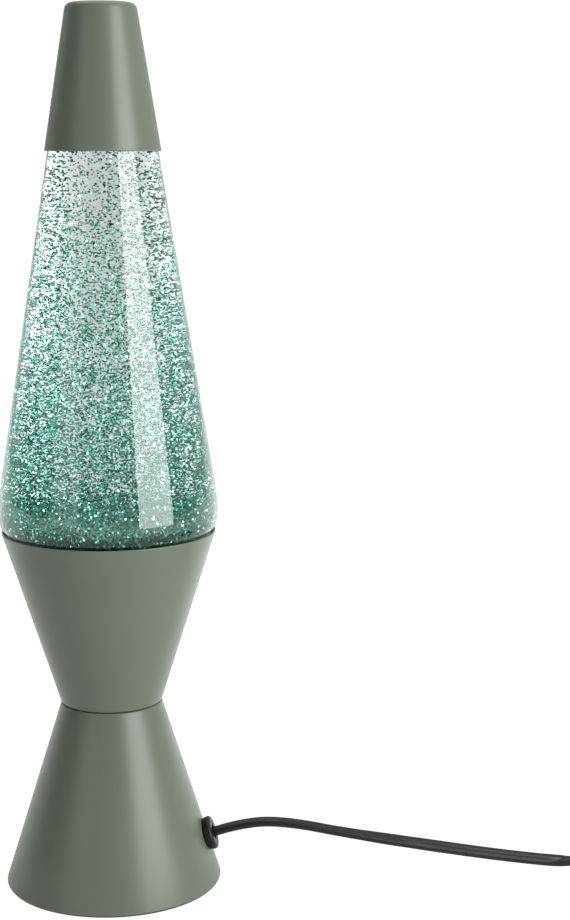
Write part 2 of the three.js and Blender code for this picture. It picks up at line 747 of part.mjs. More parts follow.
function makeCord() {
  const steps = 36;
  place('cord_lead', swept(route(leadRoute), cordWidth, cordThickness, 8, steps), charcoalCord);
  place('cord_link', swept(route(linkRoute), cordWidth, cordThickness, 8, 10), charcoalCord);
  place('cord_tail', swept(route(tailRoute), cordWidth, cordThickness, 8, 6), charcoalCord);
  const outside = coilInner + coilPitch * (coilColumns - 0.5);
  const inside = coilInner - coilPitch / 2;
  const height = coilFloor + coilPitch * coilLayers;
  let coil = solid(tube(inside, outside, coilFloor, height, 40).translate(
    coilCentre.x, coilCentre.y, 0));
  // the lead joins the coil on one side and the tail leaves it on the other
  const room = 0.9;
  for (const [end, side] of [[linkRoute.at(-1), -1], [tailRoute[0], 1]]) {
    const edge = coilCentre.y + (side * outside * 3) / 2;
    const from = Math.min(edge, coilCentre.y + side * 28);
    const to = Math.max(edge, coilCentre.y + side * 28);
    const way = block(end[0] - 40, end[0] + room, from, to, -1, height + 1);
    coil = coil.subtract(solid(way));
  }
  place('cord_coil', surface(coil), charcoalCord);
  const strap = 0.5;
  const strapWidth = 7;
  const band = new THREE.Shape();
  const gap = 0.3;
  const hollow = inside - 2 * gap;
  band.moveTo(hollow - gap - strap, coilFloor - gap - strap);
  band.lineTo(outside + gap + strap, coilFloor - gap - strap);
  band.lineTo(outside + gap + strap, height + gap + strap);
  band.lineTo(hollow - gap - strap, height + gap + strap);
  band.closePath();
  const window = new THREE.Path();
  window.moveTo(hollow - gap, coilFloor - gap);
  window.lineTo(hollow - gap, height + gap);
  window.lineTo(outside + gap, height + gap);
  window.lineTo(outside + gap, coilFloor - gap);
  window.closePath();
  band.holes.push(window);
  const tie = new THREE.ExtrudeGeometry(band, { depth: strapWidth, bevelEnabled: false })
    .rotateX(Math.PI / 2).translate(0, strapWidth / 2, 0);
  place('cord_tie', tie, blackRubber).position.copy(coilCentre);
}

// ---------------------------------------------------------------- in-line switch
// the switch's frame: its own X runs along the cord, its Z is up
function makeSwitch() {
  const group = new THREE.Group();
  group.position.copy(switchStart);
  group.rotation.z = switchTurn;
  model.add(group);
  const half = switchWidth / 2;
  const middle = switchLength / 2;
  const seam = switchFloor + switchLowerHeight;
  const cordZ = 8.4;
  const wayRadius = cordWidth / 2 + 0.35;
  const corner = 7.0;
  const coverZ = seam + fit + switchUpperHeight;
  const way = rod(wayRadius, -5, switchLength + 5, 16).rotateY(Math.PI / 2).translate(0, 0, cordZ);
  const wells = [[9, -half + 6], [switchLength - 9, half - 6]];
  const drill = (body, z0, z1, radius) => wells.reduce((left, [x, y]) =>
    left.subtract(solid(rod(radius, z0, z1, 12).translate(x, y, 0))), body);

  const lowerShell = solid(roundedSlab(0, switchLength, -half, half, corner, switchFloor, seam, 1.2))
    .subtract(solid(roundedSlab(switchWall + 12, switchLength - switchWall - 12, -half + switchWall,
      half - switchWall, 3, switchFloor + switchWall, seam + 1)))
    .subtract(solid(way));
  place('switch_lower', surface(drill(lowerShell, switchFloor - 1, seam + 1, screwCore + fit)),
    blackPlastic, group);

  const upper = seam + fit;
  const cavity = roundedSlab(switchWall + 12, switchLength - switchWall - 12, -half + switchWall,
    half - switchWall, 3, upper - 1, coverZ - switchWall);
  const window = block(middle - rockerLength / 2, middle + rockerLength / 2,
    -rockerWidth / 2 - fit, rockerWidth / 2 + fit, upper, coverZ + 5);
  const pinZ = upper + 3.4;
  const pinWay = rod(rockerPin + 0.05, -9, 9, 12).rotateX(Math.PI / 2).translate(middle, 0, pinZ);
  const bearings = block(middle - 3, middle + 3, -rockerWidth / 2 - 2.6, rockerWidth / 2 + 2.6,
    upper + 0.4, coverZ - switchWall + 0.4);
  const bearingGap = block(middle - 9, middle + 9, -rockerWidth / 2 - fit, rockerWidth / 2 + fit,
    upper - 1, coverZ + 1);
  const upperShell = solid(roundedSlab(0, switchLength, -half, half, corner, upper, coverZ, 1.8))
    .subtract(solid(cavity))
    .add(solid(bearings))
    .subtract(solid(bearingGap))
    .subtract(solid(window))
    .subtract(solid(pinWay))
    .subtract(solid(way));
  place('switch_upper', surface(drill(upperShell, upper - 1, coverZ - 2.4, screwCore + fit)),
    blackPlastic, group);

  const rocker = new THREE.Shape();
  const tilt = THREE.MathUtils.degToRad(8);
  const crown = rockerRadius;
  const reach = rockerLength / 2 - 1.0;
  rocker.moveTo(-reach, crown - 4.6);
  rocker.lineTo(-4.0, -1.6);
  rocker.lineTo(4.0, -1.6);
  rocker.lineTo(reach, crown - 4.6);
  rocker.lineTo(reach * Math.cos(tilt), crown - 1.6);
  rocker.quadraticCurveTo(0, crown - 4.4, -reach * Math.cos(tilt), crown - 1.6);
  rocker.closePath();
  const rockerBody = solid(new THREE.ExtrudeGeometry(rocker, {
    depth: rockerWidth, bevelEnabled: false, curveSegments: 8,
  }).rotateX(Math.PI / 2).translate(0, rockerWidth / 2, 0))
    .subtract(solid(rod(rockerPin + 0.1, -9, 9, 12).rotateX(Math.PI / 2)));
  const rockerMesh = place('switch_rocker', surface(rockerBody), blackPlastic, group);
  rockerMesh.position.set(middle, 0, pinZ);
  rockerMesh.rotation.y = -tilt;
  const pinHalf = rockerWidth / 2 + 2.0;
  place('rocker_pin', rod(rockerPin, -pinHalf, pinHalf, 12).rotateX(Math.PI / 2), tinnedSteel, group)
    .position.set(middle, 0, pinZ);

  for (const [name, side] of [['switch_terminal_in', -1], ['switch_terminal_out', 1]]) {
    const contact = block(-2.6, 2.6, -2.6, 2.6, switchFloor + switchWall + fit,
      switchFloor + switchWall + 3.4).translate(middle + side * 10, half - 5.4, 0);
    place(name, contact, brass, group);
  }
  wells.forEach(([x, y], i) => {
    place(`switch_screw_${i + 1}`, turned([
      [0, switchFloor + 1.4],
      [screwCore, switchFloor + 1.4],
      [screwCore, seam + 4.6],
      [0, seam + 5.2],
    ], 14), tinnedSteel, group).position.set(x, y, 0);
  });
}

// ---------------------------------------------------------------- mains plug
// the plug's frame: X along its pins, away from the cord
function makePlug() {
  const group = new THREE.Group();
  const last = new THREE.Vector3(...tailRoute[tailRoute.length - 1]);
  const before = new THREE.Vector3(...tailRoute[tailRoute.length - 2]);
  const heading = last.clone().sub(before);
  group.position.set(last.x, last.y, plugThickness / 2 + 0.6);
  group.rotation.z = Math.atan2(heading.y, heading.x);
  model.add(group);
  const start = fit;
  const bootTop = bootLength + start;
  const half = plugThickness / 2;
  const boot = turned([
    [0, start],
    [cordWidth / 2 + 1.0, start],
    [cordWidth / 2 + 3.0, bootTop + 1.5],
    [0, bootTop + 1.5],
  ], 20).rotateY(Math.PI / 2);
  const outline = new THREE.Shape();
  const grip = 5.0;
  const wide = plugWidth / 2;
  const nose = bootTop + plugLength;
  outline.moveTo(bootTop, -grip);
  outline.quadraticCurveTo(bootTop + 3, -wide, bootTop + 15, -wide);
  outline.lineTo(nose, -wide);
  outline.lineTo(nose, wide);
  outline.lineTo(bootTop + 15, wide);
  outline.quadraticCurveTo(bootTop + 3, wide, bootTop, grip);
  outline.closePath();
  const bevel = 2.0;
  let body = solid(new THREE.ExtrudeGeometry(outline, {
    depth: plugThickness - 2 * bevel,
    bevelEnabled: true,
    bevelThickness: bevel,
    bevelSize: bevel,
    bevelOffset: -bevel,
    bevelSegments: 2,
    curveSegments: 6,
  }).translate(0, 0, bevel - half)).add(solid(boot));
  for (const side of [-1, 1]) {
    const seat = rod(pinRadius + fit, nose - 6, nose + 5, 20).rotateY(Math.PI / 2)
      .translate(0, (side * pinSpacing) / 2, 0);
    body = body.subtract(solid(seat));
  }
  place('plug_body', surface(body), blackPlastic, group);
  [-1, 1].forEach((side, i) => {
    const core = pinRadius - 0.9;
    const pin = turned([
      [0, nose - 5.5],
      [core, nose - 5.5],
      [core, nose + sleeveLength + fit],
      [pinRadius, nose + sleeveLength + fit],
      [pinRadius, nose + pinLength - 1.2],
      [pinRadius - 1.1, nose + pinLength],
      [0, nose + pinLength],
    ], 18).rotateY(Math.PI / 2);
    const sleeve = tube(core + fit, pinRadius, nose - 5.5, nose + sleeveLength, 18)
      .rotateY(Math.PI / 2);
    const offset = (side * pinSpacing) / 2;
    place(`plug_pin_${i + 1}`, pin, tinnedSteel, group).position.y = offset;
    place(`plug_sleeve_${i + 1}`, sleeve, blackPlastic, group).position.y = offset;
  });
}

makeCap();
makeGlobeGlass();
makeFilling();
makeClosure();
makeCup();
makeFoot();
makeGrommet();
makeBasePlate();
makeHolder();
makeBulb();
makeInnerCord();
makeClamp();
makeCord();
makeSwitch();
makePlug();

export default model;
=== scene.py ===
# %% [markdown]
# A glitter lamp. A tapering glass globe stands in a base of two spun metal cones and wears a
# conical metal cap. The globe is full of clear liquid and thousands of green film flakes.
# The plain shapes come from an engineer's model, loaded here as a fixed frame. Blender adds the
# looks: thin rolled metal, thick glass, liquid, flakes, rubber, cord, and their finishes.

import json
import math

import bmesh
import bpy
import numpy as np
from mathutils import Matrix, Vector


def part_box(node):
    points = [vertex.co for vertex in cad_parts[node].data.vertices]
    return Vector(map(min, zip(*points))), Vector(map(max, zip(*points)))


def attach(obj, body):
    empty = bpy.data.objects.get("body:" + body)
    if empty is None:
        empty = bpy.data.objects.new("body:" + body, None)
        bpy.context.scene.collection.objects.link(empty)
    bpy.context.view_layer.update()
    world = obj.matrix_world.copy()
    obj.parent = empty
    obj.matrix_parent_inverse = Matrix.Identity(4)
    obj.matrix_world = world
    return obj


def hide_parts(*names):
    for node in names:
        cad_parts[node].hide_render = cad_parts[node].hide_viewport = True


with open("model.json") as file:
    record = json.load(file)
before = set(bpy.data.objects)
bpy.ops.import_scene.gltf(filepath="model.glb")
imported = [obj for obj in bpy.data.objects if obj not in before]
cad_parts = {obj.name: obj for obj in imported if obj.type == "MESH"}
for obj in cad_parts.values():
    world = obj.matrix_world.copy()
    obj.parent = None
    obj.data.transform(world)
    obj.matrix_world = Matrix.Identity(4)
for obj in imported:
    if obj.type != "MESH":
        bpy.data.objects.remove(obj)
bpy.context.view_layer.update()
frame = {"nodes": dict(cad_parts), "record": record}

# %% [markdown]
# Blender works in metres, and a small object is easier to think of in millimetres, so the lamp's
# sizes are in millimetres and are multiplied by MM where they go into a mesh. Only the camera and
# the studio are in metres. The lamp's axis is Z and the table is z = 0. Heights are read from the
# boxes of the engineer's pieces, and the radius at a height from the corners that lie there.

# %% Reading the frame in millimetres
MM = 0.001
SAME_HEIGHT = 0.06


def low(node):
    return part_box(node)[0][2] / MM


def high(node, axis=2):
    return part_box(node)[1][axis] / MM


def radius_at(node, height, pick=max):
    """The outermost (or, with min, the innermost) corner of a round piece at a height."""
    corners = [v.co / MM for v in frame["nodes"][node].data.vertices]
    return pick(c.xy.length for c in corners if abs(c.z - height) < SAME_HEIGHT)


globe_widest = high("globe_glass", 0)
print("lamp height", round(high("cap_shell"), 1), "globe width", round(2 * globe_widest, 1))

# %% [markdown]
# ## Camera
# A long lens a little above the middle of the lamp and tipped down, so that upright lines stay
# nearly parallel. The lamp stands left of the middle, and its cord runs out of view on the right.

# %% Camera
LENS = 116.05
CAMERA_PLACE = (0.0, -0.7635, 0.3106)
TIPPED_DOWN = 9.51
TURNED_RIGHT = 5.58
camera_data = bpy.data.cameras.new("camera")
camera_data.sensor_fit = "HORIZONTAL"
camera_data.sensor_width = 36.0
camera_data.lens = LENS
camera_data.clip_start = 0.01
camera = bpy.data.objects.new("camera", camera_data)
bpy.context.scene.collection.objects.link(camera)
camera.location = CAMERA_PLACE
camera.rotation_euler = (math.radians(90 - TIPPED_DOWN), 0.0, math.radians(-TURNED_RIGHT))
bpy.context.scene.camera = camera
print("camera: lens", LENS, "mm")

# %% [markdown]
# ## Working by hand, in code
# Every operator acts on what is selected, so each step starts by clearing the selection.
# `start_editing` and `stop_editing` go in and out of edit mode, and `select_where` picks corners
# by their place. A finished piece keeps its place in its mesh and its object at the origin.


# %% Selection helpers
def clear_selection():
    if bpy.context.object and bpy.context.object.mode != "OBJECT":
        bpy.ops.object.mode_set(mode="OBJECT")
    bpy.ops.object.select_all(action="DESELECT")


def work_on(*pieces):
    clear_selection()
    for piece in pieces:
        piece.select_set(True)
    bpy.context.view_layer.objects.active = pieces[0]


def start_editing(piece, select="DESELECT", kind="VERT"):
    work_on(piece)
    bpy.ops.object.mode_set(mode="EDIT")
    bpy.ops.mesh.select_mode(type=kind)
    bpy.ops.mesh.select_all(action=select)


def stop_editing():
    bpy.ops.object.mode_set(mode="OBJECT")


def select_where(piece, test):
    """Selects the corners of the mesh being edited whose place, in millimetres, passes the test."""
    mesh = bmesh.from_edit_mesh(piece.data)
    for corner in mesh.verts:
        corner.select_set(bool(test(corner.co / MM)))
    mesh.select_flush(True)
    bmesh.update_edit_mesh(piece.data)


# %% Finishing helpers
def named(name):
    piece = bpy.context.object
    piece.name = piece.data.name = name
    return piece


def put_place_in_mesh(piece):
    work_on(piece)
    bpy.ops.object.transform_apply(location=True, rotation=True, scale=True)


def smooth(piece, degrees=35):
    work_on(piece)
    bpy.ops.object.shade_smooth_by_angle(angle=math.radians(degrees))


MERGE_GAP = 0.004


def make_outward(piece):
    start_editing(piece, "SELECT")
    bpy.ops.mesh.remove_doubles(threshold=MERGE_GAP * MM)
    bpy.ops.mesh.normals_make_consistent(inside=False)
    stop_editing()


def apply_modifier(piece, kind, **settings):
    work_on(piece)
    modifier = piece.modifiers.new(kind.lower(), kind)
    for name, value in settings.items():
        setattr(modifier, name, value)
    bpy.ops.object.modifier_apply(modifier=modifier.name)


def bevel(piece, width, segments, degrees=40):
    apply_modifier(piece, "BEVEL", width=width * MM, segments=segments, limit_method="ANGLE",
                   angle_limit=math.radians(degrees), harden_normals=False)


def cut(piece, *cutters):
    """Takes the cutters' shapes out of the piece."""
    for cutter in cutters:
        apply_modifier(piece, "BOOLEAN", operation="DIFFERENCE", solver="EXACT", object=cutter)
        bpy.data.objects.remove(cutter)


def join(name, pieces):
    work_on(*pieces)
    bpy.ops.object.join()
    return named(name)


def ramp(value, start, end):
    """Rises smoothly from 0 at the start to 1 at the end."""
    t = min(max((value - start) / (end - start), 0), 1)
    return t * t * (3 - 2 * t)


# %% [markdown]
# Round pieces are drawn as a potter works. A circle is extruded, lifted and scaled, ring by ring,
# up the outside of the wall and down its inside, so that one list of rings is the whole section.


# %% Turning a round piece
POLE = 1e-3


def turn(name, rings, sides, smooth_angle=35):
    """A round piece from (radius, height) rings in millimetres. A ring of radius 0 is a pole.
    Where no ring is a pole, the last ring is joined back to the first."""
    if min(r for r, _ in rings) > 0:
        rings = [*rings, rings[0]]
    rings = [(max(r, POLE), z) for r, z in rings]
    radius, height = rings[0]
    clear_selection()
    bpy.ops.mesh.primitive_circle_add(vertices=sides, radius=radius * MM)
    piece = named(name)
    start_editing(piece, "SELECT")
    bpy.ops.transform.translate(value=(0, 0, height * MM))
    for next_radius, next_height in rings[1:]:
        rise = (0, 0, (next_height - height) * MM)
        bpy.ops.mesh.extrude_edges_move(TRANSFORM_OT_translate={"value": rise})
        scale = next_radius / radius
        bpy.ops.transform.resize(value=(scale, scale, 1), center_override=(0, 0, 0))
        radius, height = next_radius, next_height
    stop_editing()
    make_outward(piece)
    smooth(piece, smooth_angle)
    return piece


def corner_arc(radius, height, size, start, end, steps):
    """Rings along an arc of the section. The angles are in degrees, 0 outwards and 90 upwards."""
    turns = [math.radians(start + (end - start) * i / steps) for i in range(steps + 1)]
    return [(radius + size * math.cos(t), height + size * math.sin(t)) for t in turns]


def triangles(piece):
    return sum(len(face.vertices) - 2 for face in piece.data.polygons)


def hand_in(piece, body, slot, *replaced):
    """The piece rides on its body and stands for the CAD nodes that it hides. The slot is not used.
    """
    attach(piece, body)
    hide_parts(*replaced)
    print(f"{piece.name}: {triangles(piece)} triangles, rides on {body}")


# %% [markdown]
# ## The cord's route
# A flat two-core cord leaves the grommet along the slope of the foot, springs up a little, and
# sinks to the table. It passes through the in-line switch and is then wound for storage: a spiral
# inwards on the table, one turn that climbs, and a spiral outwards on top, to the plug.
# The loose stretches are listed points, and a smooth curve is drawn through them.

# %% Cord route
CORD_WIDTH = 5.2
CORD_THICKNESS = 3.2
lead_route = [
    (36.4, -5.1, 18.4), (40.0, -5.6, 19.5), (43.6, -6.1, 20.7), (50, -7.0, 22.7),
    (57, -7.9, 24.3), (65, -8.7, 25.2), (74, -9.4, 24.7), (84, -9.9, 23.1), (94, -10.2, 20.9),
    (105, -10.3, 18.6), (117, -10.3, 16.2), (130, -10.2, 13.7), (143, -10.0, 11.2),
    (156, -9.7, 8.7), (168, -9.3, 6.5), (180, -9.0, 4.5), (191, -8.8, 2.9), (201, -8.7, 2.0),
    (209, -9.0, 1.9), (217, -10.0, 3.2), (225, -11.4, 5.6), (231, -12.6, 7.5),
    (235.7, -13.5, 8.4),
]
switch_route = [(245, -15.4, 8.5), (266.4, -19.8, 8.5), (288, -24.2, 8.5)]
link_route = [
    (297.1, -26.0, 8.4), (303, -27.2, 7.8), (311, -28.9, 6.0), (320, -30.7, 4.3),
    (330, -32.3, 3.6), (338, -33.2, 3.5),
]
tail_route = [(331, 43.9, 8.4), (326, 43.2, 8.0), (320, 42.0, 7.6), (315, 40.8, 7.5)]
plug_entry = [(309, 39.4, 7.45), (303, 38.0, 7.45)]

# %% Coil
COIL_CENTRE = (347.0, 5.0)
COIL_OUTER = 38.6
COIL_INNER = 22.4
COIL_LOW = 3.5
COIL_HIGH = 8.9
COIL_TURNS = 3
CLIMB_INSET = 1.2
POINTS_IN_TURN = 24


def coil_route():
    """The wound cord: inwards on the table, one turn that climbs, and outwards on top of it."""
    enter, leave = math.radians(-90), math.radians(90)
    inwards = COIL_OUTER - COIL_INNER
    rise = COIL_HIGH - COIL_LOW
    points = []

    def lay(start, turns, radius, height):
        for i in range(round(turns * POINTS_IN_TURN)):
            t = i / (turns * POINTS_IN_TURN)
            angle = start + 2 * math.pi * turns * t
            points.append((COIL_CENTRE[0] + radius(t) * math.cos(angle),
                           COIL_CENTRE[1] + radius(t) * math.sin(angle), height(t)))

    lay(enter, COIL_TURNS, lambda t: COIL_OUTER - inwards * t, lambda t: COIL_LOW)
    lay(enter, 1, lambda t: COIL_INNER - CLIMB_INSET * math.sin(math.pi * t),
        lambda t: COIL_LOW + rise * ramp(t, 0, 1))
    lay(enter, COIL_TURNS, lambda t: COIL_INNER + inwards * t, lambda t: COIL_HIGH)
    lay(enter, (leave - enter) / (2 * math.pi), lambda t: COIL_OUTER, lambda t: COIL_HIGH)
    return points


# %% Smooth route
CORD_SPACING = 1.5
CURVE_STEPS = 12


def smooth_path(points):
    """Evenly spaced points on a smooth curve through the given ones."""
    knots = np.array([2 * Vector(points[0]) - Vector(points[1]), *points,
                      2 * Vector(points[-1]) - Vector(points[-2])])
    line = []
    for before, here, there, after in zip(knots, knots[1:], knots[2:], knots[3:], strict=False):
        for t in np.arange(CURVE_STEPS) / CURVE_STEPS:
            line.append(0.5 * (
                2 * here
                + (there - before) * t
                + (2 * before - 5 * here + 4 * there - after) * t**2
                + (3 * here - before - 3 * there + after) * t**3
            ))
    line = np.array([*line, knots[-2]])
    travelled = distance_along(line)
    marks = np.linspace(0, travelled[-1], int(travelled[-1] / CORD_SPACING) + 1)
    return np.stack([np.interp(marks, travelled, line[:, k]) for k in range(3)], axis=1)


def distance_along(line):
    return np.concatenate([[0], np.cumsum(np.linalg.norm(np.diff(line, axis=0), axis=1))])


before_coil = [*lead_route, *switch_route, *link_route]
after_coil = [*tail_route, *plug_entry]
cord_line = smooth_path([*before_coil, *coil_route()[1:], *after_coil])

# %% [markdown]
# The cord's section is two round cores side by side with a groove between them. A flat cord only
# bends easily across its thin way, so it stands on its edge in the coil. It leaves the lamp
# nearly flat, rolls onto its edge as it comes down, and lies flat again on the table.


# %% Cord section and twist
GROOVE_WIDENING = 0.93
CORE_CORNERS = 9


def twin_section():
    """The outline of two fused round cores, across the cord and through its thickness."""
    core = CORD_THICKNESS / 2
    offset = CORD_WIDTH / 2 - core
    groove = math.acos(-offset / core) * GROOVE_WIDENING
    return [
        (side * (offset + core * math.cos(angle)), side * core * math.sin(angle))
        for side in (1, -1)
        for angle in np.linspace(-groove, groove, CORE_CORNERS)
    ]


FLAT_TILT, ROLL = 12, 60
ROLLING = (88, 148)
SETTLING = (190, 204)
STANDING_UP = (-40, 6)
LYING_DOWN = (-48, -20)


def cord_twists(line):
    """The turn of the flat side from level, in degrees, at each point of the route."""
    travelled = distance_along(line)
    coil_start = travelled[np.argmax(line[:, 0] > link_route[-1][0])]
    twists = []
    for distance, out_from_lamp in zip(travelled, line[:, 0], strict=True):
        on_its_side = FLAT_TILT + ROLL * ramp(out_from_lamp, *ROLLING)
        springing = -on_its_side * (1 - ramp(out_from_lamp, *SETTLING))
        standing = 90 * ramp(distance - coil_start, *STANDING_UP)
        laid_down = 90 * ramp(distance - travelled[-1], *LYING_DOWN)
        twists.append(springing + standing - laid_down)
    print("coil from", round(coil_start), "mm along the cord")
    return np.array(twists)


# %% Cord
def tube_along(name, line, section, twists):
    """A tube of the section's shape along the line, closed at both ends, all in millimetres."""
    tangent = np.gradient(line, axis=0)
    tangent /= np.linalg.norm(tangent, axis=1)[:, None]
    side = np.cross(tangent, [0, 0, 1])
    side /= np.linalg.norm(side, axis=1)[:, None]
    above = np.cross(side, tangent)
    turns = np.radians(twists)[:, None]
    across = side * np.cos(turns) + above * np.sin(turns)
    through = above * np.cos(turns) - side * np.sin(turns)
    section = np.asarray(section)[None]
    corners = (line[:, None] + across[:, None] * section[..., :1]
               + through[:, None] * section[..., 1:]).reshape(-1, 3) * MM
    rings, sides = len(line), section.shape[1]
    faces = [
        (r * sides + s, r * sides + (s + 1) % sides,
         (r + 1) * sides + (s + 1) % sides, (r + 1) * sides + s)
        for r in range(rings - 1)
        for s in range(sides)
    ]
    faces.append(tuple(range(sides))[::-1])
    faces.append(tuple((rings - 1) * sides + s for s in range(sides)))
    mesh = bpy.data.meshes.new(name)
    mesh.from_pydata(corners.tolist(), [], faces)
    piece = bpy.data.objects.new(name, mesh)
    bpy.context.scene.collection.objects.link(piece)
    make_outward(piece)
    smooth(piece, 50)
    return piece


mains_cord = tube_along("mains_cord", cord_line, twin_section(), cord_twists(cord_line))
hand_in(mains_cord, "base", "cord_sheath", "cord_lead", "cord_link", "cord_coil", "cord_tail")

# %% [markdown]
# ## Studio
# A white sweep: the floor runs back and curves up into a wall, so that no edge shows. It glows,
# as a sweep that two lights behind the lamp shine on does, so it is brighter beside the lamp than
# straight behind it, and no real shadow shows on it, only a painted shadow under the foot. A tall
# softbox stands to the front right, a weak one fills in from the front left, and a wide one hangs
# overhead. A narrow spot lights only the globe. The room is brighter behind the lamp than in front
# of it, and a black flag on the left gives the metal its dark side.

# %% Sweep
SWEEP_HALF = 3.0
SWEEP_BEND = 0.8
WALL_HEIGHT = 3.0


def make_sweep():
    clear_selection()
    bpy.ops.mesh.primitive_plane_add(size=2 * SWEEP_HALF, location=(0, 0, 0))
    sweep = named("studio_sweep")
    start_editing(sweep)
    select_where(sweep, lambda place: place.y > 0)
    turns = np.linspace(0, math.pi / 2, 11)
    for start, end in zip(turns, turns[1:], strict=False):
        back = SWEEP_BEND * (math.sin(end) - math.sin(start))
        up = SWEEP_BEND * (math.cos(start) - math.cos(end))
        bpy.ops.mesh.extrude_edges_move(TRANSFORM_OT_translate={"value": (0, back, up)})
    bpy.ops.mesh.extrude_edges_move(TRANSFORM_OT_translate={"value": (0, 0, WALL_HEIGHT)})
    stop_editing()
    smooth(sweep, 60)
    return sweep


sweep = make_sweep()
print("sweep:", len(sweep.data.polygons), "faces")


# %% Node helpers
def new_material(name):
    material = bpy.data.materials.new(name)
    material.use_nodes = True
    tree = material.node_tree
    return material, tree.nodes, tree.links, tree.nodes["Principled BSDF"]


def add_node(nodes, kind, **settings):
    node = nodes.new("ShaderNode" + kind)
    for name, value in settings.items():
        setattr(node, name, value)
    return node


def set_inputs(node, **values):
    for name, value in values.items():
        node.inputs[name.replace("_", " ")].default_value = value


def add_change(nodes, links, value, span, ends, interpolation="SMOOTHSTEP"):
    """A value that goes from one end to the other as the input crosses the span."""
    change = add_node(nodes, "MapRange", interpolation_type=interpolation)
    set_inputs(change, From_Min=span[0], From_Max=span[1], To_Min=ends[0], To_Max=ends[1])
    links.new(value, change.inputs["Value"])
    return change


def mix_for_ray(nodes, links, ray, usual, special, output):
    """Shows the special shader to one kind of ray, and the usual one to all others."""
    path = add_node(nodes, "LightPath")
    mix = add_node(nodes, "MixShader")
    links.new(path.outputs[ray], mix.inputs[0])
    links.new(usual.outputs[0], mix.inputs[1])
    links.new(special.outputs[0], mix.inputs[2])
    links.new(mix.outputs[0], output.inputs["Surface"])


def give(piece, *materials):
    piece.data.materials.clear()
    for material in materials:
        piece.data.materials.append(material)


# %% Sweep finish
SEEN_WHITE = 1.06
GLOW_FRONT = 0.22
GLOW_LEFT = (0.8, 0.1)
GLOW_MIDDLE = (0.0, 0.3)
GLOW_RIGHT = (1.2, 0.4)
GLOW_DISTANCES = (0.8, 3.0)
GLOW_STARTS = (-0.1, 0.5)
MIDDLE_GAP = (0.05, 0.75)
LEFT_TO_RIGHT = (-0.3, 0.3)


def add_back_glow(nodes, links, place):
    """How brightly the sweep glows: more behind the lamp, and less straight behind it, where
    the gap between two back lights falls. Each pair of levels above is for near and far."""
    split = add_node(nodes, "SeparateXYZ")
    sideways = add_node(nodes, "Math", operation="DIVIDE")
    off_middle = add_node(nodes, "Math", operation="ABSOLUTE")
    links.new(place, split.inputs[0])
    links.new(split.outputs["X"], sideways.inputs[0])
    links.new(split.outputs["Y"], sideways.inputs[1])
    links.new(sideways.outputs[0], off_middle.inputs[0])
    gap = add_change(nodes, links, off_middle.outputs[0], MIDDLE_GAP, (0, 1))
    side = add_change(nodes, links, sideways.outputs[0], LEFT_TO_RIGHT, (0, 1))
    behind = add_change(nodes, links, split.outputs["Y"], GLOW_STARTS, (GLOW_FRONT, 1))
    levels = (
        (GLOW_LEFT, side.inputs["To Min"]),
        (GLOW_RIGHT, side.inputs["To Max"]),
        (GLOW_MIDDLE, gap.inputs["To Min"]),
    )
    for near_and_far, end in levels:
        fading = add_change(nodes, links, split.outputs["Y"], GLOW_DISTANCES, near_and_far,
                            "LINEAR")
        links.new(fading.outputs["Result"], end)
    links.new(side.outputs["Result"], gap.inputs["To Max"])
    links.new(gap.outputs["Result"], behind.inputs["To Max"])
    return behind.outputs["Result"]


# %% [markdown]
# The camera sees the sweep as plain white, except under the foot, where a painted shadow darkens
# it so that the gap there looks as dark as a real one. Every other ray sees a pale grey surface
# and its glow.

# %% Sweep's painted shadow under the lamp
SWEEP_GREY = (0.62, 0.62, 0.62, 1)
# The painted shadow under the foot: how much of the white the camera still sees there.
PAINTED_SHADOW_UNDER_FOOT = 0.03


def make_sweep_finish():
    material, nodes, links, surface = new_material("white_sweep")
    set_inputs(surface, Base_Color=SWEEP_GREY, Roughness=0.9, Specular_IOR_Level=0.1)
    set_inputs(surface, Emission_Color=(1, 1, 1, 1))
    place = add_node(nodes, "TexCoord").outputs["Object"]
    links.new(add_back_glow(nodes, links, place), surface.inputs["Emission Strength"])
    from_axis = add_node(nodes, "VectorMath", operation="LENGTH")
    links.new(place, from_axis.inputs[0])
    foot_edge = (radius_at("foot_shell", low("foot_shell") + 0.5) - 0.2) * MM
    # Painted shadow: the white that the camera sees drops to almost black under the foot.
    lit = add_change(nodes, links, from_axis.outputs["Value"], (foot_edge - 0.6 * MM, foot_edge),
                     (PAINTED_SHADOW_UNDER_FOOT, SEEN_WHITE), "LINEAR")
    seen = add_node(nodes, "Emission")
    links.new(lit.outputs["Result"], seen.inputs["Strength"])
    mix_for_ray(nodes, links, "Is Camera Ray", surface, seen, nodes["Material Output"])
    give(sweep, material)


make_sweep_finish()


# %% World
ROOM_LIGHT = (0.42, 0.8)
FRONT_TO_BACK = (-0.5, 0.5)
FLAG_SIDE = (-0.99, -0.12, 0.0)
FLAG_EDGE = (0.72, 0.97)
FLAG_DARKNESS = 0.06


